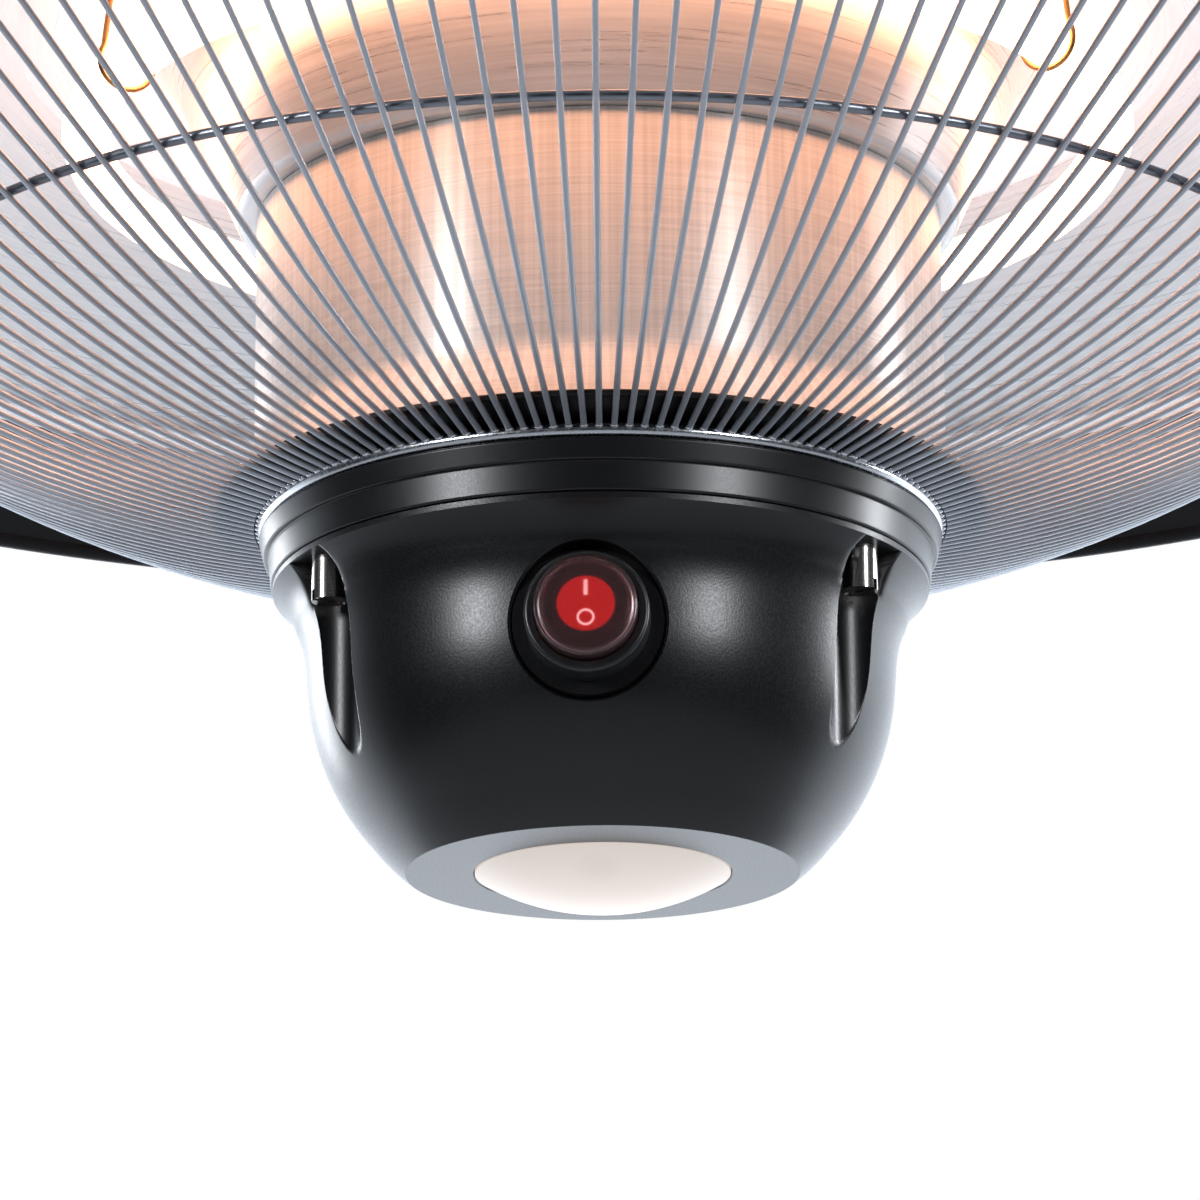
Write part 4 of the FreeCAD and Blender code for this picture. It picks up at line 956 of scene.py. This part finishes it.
def well(verts, faces, last):
    """The well's rounded mouth, wall and floor, from a ring on the outside to the switch's hole."""
    mouth = WELL_RADIUS + WELL_ROUND
    for radius in (mouth + EDGE_SUPPORT, mouth):
        last = add_ring(verts, faces, last, radius, outside_reach)
    for step in WELL_ROUND_STEPS:
        angle = math.radians(step)
        sink = WELL_ROUND * (1 - math.cos(angle))
        radius = WELL_RADIUS + WELL_ROUND * (1 - math.sin(angle))
        last = add_ring(verts, faces, last, radius, sunk_reach(mouth / radius, sink))
    for radius in (WELL_RADIUS, WELL_HOLE):
        last = add_ring(verts, faces, last, radius, well_floor)
    return last


def bowl():
    azimuths = bowl_azimuths()
    rows = bowl_rows()
    verts = []
    grid = []
    for radius, z, cut in rows:
        grid.append(range(len(verts), len(verts) + len(azimuths)))
        verts += [polar(channelled(radius, a) if cut else radius, a, z) for a in azimuths]
    columns = [i for i, a in enumerate(azimuths) if abs(a) <= WELL_WINDOW]
    span = (columns[0], columns[-1])
    tall = [i for i, row in enumerate(rows) if abs(row[1] - SWITCH_Z) <= WELL_WINDOW]
    outer = [i for i in tall if rows[i][0] > BOWL_INSIDE]
    inner = [i for i in tall if rows[i][0] <= BOWL_INSIDE and not rows[i][2]]
    windows = [(outer[0], outer[-1]), (inner[0], inner[-1])]
    faces = []
    for r in range(len(rows)):
        for c in range(len(azimuths)):
            in_columns = span[0] <= c < span[1]
            if in_columns and any(low <= r < high for low, high in windows):
                continue
            d = (c + 1) % len(azimuths)
            s = (r + 1) % len(rows)
            faces.append([grid[r][c], grid[r][d], grid[s][d], grid[s][c]])
    start = WELL_RADIUS + WELL_ROUND + WELL_MARGIN
    front = open_window(verts, faces, grid, windows[0], span, start, outside_reach)
    last = well(verts, faces, front)
    back = open_window(verts, faces, grid, windows[1], span, WELL_HOLE, inside_reach)
    bridge(faces, last, back)
    dress(mesh_object("bowl", verts, faces), SATIN_BLACK, nodes=["control_bowl"])


# Light and switch

def lens_curve(radius, low, level, steps=24):
    """Points of a shallow dome from its rim to the axis."""
    sag = level - low
    sphere = (radius ** 2 + sag ** 2) / (2 * sag)
    half = math.degrees(math.asin(radius / sphere))
    points = arc((0.0, low + sphere), sphere, -90.0 + half, -90.0, steps)
    points[-1] = (0.0, low)
    return points


def lens():
    inside = BOWL_FLOOR + BOWL_WALL
    seat = highest("light_lens").z
    inner = LENS_RADIUS - LENS_WALL
    outline = [(inner, seat), (LENS_FLANGE, seat), (LENS_FLANGE, inside), (LENS_RADIUS, inside)]
    outline += lens_curve(LENS_RADIUS, LENS_LOW, BOWL_FLOOR)
    outline += lens_curve(inner, LENS_LOW + LENS_WALL, BOWL_FLOOR + LENS_WALL / 2)[::-1]
    dress(revolve("lens", outline, SMALL_ROUND), LENS_GLOW, nodes=["light_lens"])


def bezel():
    inner = BOOT_RADIUS + SWITCH_GAP
    step = BOOT_FLANGE_RADIUS + SWITCH_GAP
    ledge = BOOT_SEAT + BOOT_FLANGE + LEDGE_GAP
    points = [(step, BOOT_SEAT), (BEZEL_RADIUS, BOOT_SEAT), (BEZEL_RADIUS, BEZEL_FRONT), (inner, BEZEL_FRONT),
              (inner, ledge), (step, ledge)]
    outline = rounded(points, [0, 0, BEZEL_EDGE, BEZEL_EDGE / 4, 0, 0], 6, closed=True)
    made = to_front(revolve("bezel", outline, SMALL_ROUND))
    dress(made, SWITCH_BLACK, nodes=["switch_bezel"])


def boot():
    inner = BOOT_RADIUS - BOOT_WALL
    inner_edge = BOOT_EDGE - BOOT_WALL / 2
    flange_top = BOOT_SEAT + BOOT_FLANGE
    behind = BOOT_FRONT - BOOT_WALL
    points = [(inner, BOOT_SEAT), (BOOT_FLANGE_RADIUS, BOOT_SEAT), (BOOT_FLANGE_RADIUS, flange_top)]
    points += [(BOOT_RADIUS, flange_top), (BOOT_RADIUS, BOOT_FRONT), (0, BOOT_FRONT)]
    points += [(0, behind), (inner, behind)]
    outline = rounded(points, [0, 0, 0, 0, BOOT_EDGE, 0, 0, inner_edge], 8, closed=True)
    dress(to_front(revolve("boot", outline, SMALL_ROUND)), BOOT_CLEAR, nodes=["switch_boot"])


def rocker():
    under_cap = ROCKER_FACE_REACH - ROCKER_CAP
    share = (under_cap - ROCKER_SHOULDER) / (ROCKER_FACE_REACH - ROCKER_SHOULDER)
    neck = ROCKER_BASE + (ROCKER_FACE - ROCKER_BASE) * share
    points = [(0, ROCKER_BASE_REACH), (ROCKER_BASE, ROCKER_BASE_REACH), (ROCKER_BASE, ROCKER_SHOULDER),
              (neck, under_cap), (0, under_cap)]
    outline = rounded(points, [0, ROCKER_BASE_EDGE, 0, 0, 0], 4)
    body = to_front(revolve("rocker", outline, ROCKER_ROUND), ROCKER_TILT)
    dress(body, ROCKER_DARK, "rocker", ["switch_rocker"])
    points = [(0, under_cap), (ROCKER_FACE, under_cap)]
    points += [(ROCKER_FACE, ROCKER_FACE_REACH), (0, ROCKER_FACE_REACH)]
    outline = rounded(points, [0, 0, ROCKER_CAP_EDGE, 0], 5)
    cap = revolve("rocker_cap", outline, ROCKER_ROUND)
    dress(to_front(cap, ROCKER_TILT), ROCKER_RED, "rocker")


def rocker_marks():
    """The bar above and the ring below, a touch proud of the rocker's face."""
    low = ROCKER_FACE_REACH - MARK_RAISE
    high = ROCKER_FACE_REACH + MARK_RAISE
    half = (MARK_WIDTH / 2, MARK_HEIGHT / 2)
    corners = [(-half[0], -half[1]), (half[0], -half[1]), (half[0], half[1]), (-half[0], half[1])]
    verts = [(x, y + MARK_OFFSET, z) for z in (low, high) for x, y in corners]
    faces = [[0, 1, 2, 3], [4, 5, 6, 7], [0, 1, 5, 4], [1, 2, 6, 5], [2, 3, 7, 6], [3, 0, 4, 7]]
    bar = mesh_object("mark_bar", verts, faces)
    inner = MARK_RING - MARK_STROKE
    outline = [(inner, low), (MARK_RING, low), (MARK_RING, high), (inner, high)]
    ring = revolve("mark_ring", outline, MARK_ROUND)
    ring.data.transform(Matrix.Translation((0, -MARK_OFFSET * MM, 0)))
    for mark in (bar, ring):
        dress(to_front(mark, ROCKER_TILT), MARK_WHITE, "rocker")


# Carried-over nodes

def paint_nodes():
    paints = {
        "hat_black": POWDER_BLACK, "collar_black": GLOSS_BLACK, "bowl_black": SATIN_BLACK,
        "spun_aluminium": SPUN, "brushed_aluminium": BRUSHED, "guard_steel": GUARD_STEEL,
        "zinc_steel": ZINC_STEEL, "hanger_steel": POWDER_BLACK, "nickel": NICKEL, "quartz": LAMP_GLOW,
        "heating_coil": FILAMENT, "ceramic_white": CERAMIC, "lens_white": LENS_GLOW,
        "rocker_red": ROCKER_RED, "boot_clear": BOOT_CLEAR, "switch_black": SWITCH_BLACK,
        "gland_black": GLAND_BLACK, "grey_rubber": GREY_RUBBER, "block_white": WHITE_PLASTIC,
        "board_green": BOARD_GREEN, "component_black": COMPONENT_BLACK, "led_yellow": LED_YELLOW,
        "brass": BRASS,
    }
    slots = {s["node"]: s["material_slot"] for s in frame["record"]["subparts"]}
    for name, node in frame["nodes"].items():
        node.data.materials.clear()
        node.data.materials.append(paints[slots[name]])


# Stage

def floor():
    made = mesh_object("floor", circle(FLOOR_RADIUS, FLOOR_Z), [list(range(LARGE_ROUND))])
    material, _, _ = new_material("floor_pale", (0.74, 0.73, 0.73), 0.6)
    made.data.materials.append(material)


def soft_box(name, azimuth, elevation, size, strength):
    data = bpy.data.lights.new(name, "AREA")
    data.shape = "ELLIPSE"
    data.size = size[0] * MM
    data.size_y = size[1] * MM
    data.energy = strength
    data.color = LIGHT_COLOR
    made = bpy.data.objects.new(name, data)
    target = Vector((0, 0, GUARD_Z)) * MM
    rise = math.radians(elevation)
    spot = polar(LIGHT_DISTANCE * math.cos(rise), azimuth, LIGHT_DISTANCE * math.sin(rise))
    made.location = target + spot * MM
    made.rotation_euler = (-spot).to_track_quat("-Z", "Y").to_euler()
    bpy.context.scene.collection.objects.link(made)


def world():
    made = bpy.data.worlds.new("studio")
    bpy.context.scene.world = made
    made.use_nodes = True
    tree = made.node_tree
    tree.nodes.clear()
    direction = add(tree, "TexCoord").outputs["Generated"]
    parts = add(tree, "SeparateXYZ", {0: direction}).outputs
    turn = {"Value": parts[1], "From Min": WORLD_TURN[0], "From Max": WORLD_TURN[1]}
    turn.update({"To Min": WORLD_FRONT, "To Max": WORLD_BACK})
    backness = add(tree, "MapRange", turn, interpolation_type="SMOOTHSTEP").outputs[0]
    seen = add(tree, "LightPath").outputs["Is Camera Ray"]
    strength = add(tree, "Mix", {0: seen, 2: backness, 3: 1.0}, data_type="FLOAT").outputs[0]
    shades = {0: seen, 6: WORLD_TINT, 7: (1.0, 1.0, 1.0, 1.0)}
    tint = add(tree, "Mix", shades, data_type="RGBA").outputs[2]
    background = add(tree, "Background", {"Color": tint, "Strength": strength})
    output = add(tree, "OutputWorld")
    tree.links.new(background.outputs[0], output.inputs[0])


def camera():
    data = bpy.data.cameras.new("camera")
    data.lens = CAMERA_LENS
    data.sensor_width = CAMERA_SENSOR
    data.clip_end = CAMERA_CLIP
    data.shift_x = CAMERA_SHIFT
    made = bpy.data.objects.new("camera", data)
    made.location = polar(CAMERA_DISTANCE, CAMERA_AZIMUTH, CAMERA_Z) * MM
    turn = Matrix.Rotation(math.radians(CAMERA_AZIMUTH), 4, "Z")
    tilt = Matrix.Rotation(math.pi / 2 + CAMERA_PITCH, 4, "X")
    roll = Matrix.Rotation(CAMERA_ROLL, 4, "Z")
    made.rotation_euler = (turn @ tilt @ roll).to_euler()
    bpy.context.scene.collection.objects.link(made)
    bpy.context.scene.camera = made


paint_nodes()
guard_wires()
guard_rings()
guard_welds()
core()
reflector()
hat()
lamp_clips()
collar()
bowl()
lens()
bezel()
boot()
rocker()
rocker_marks()
floor()
world()
camera()
for light, values in LIGHTS.items():
    soft_box(light, *values)
bpy.context.scene.view_settings.view_transform = "Standard"
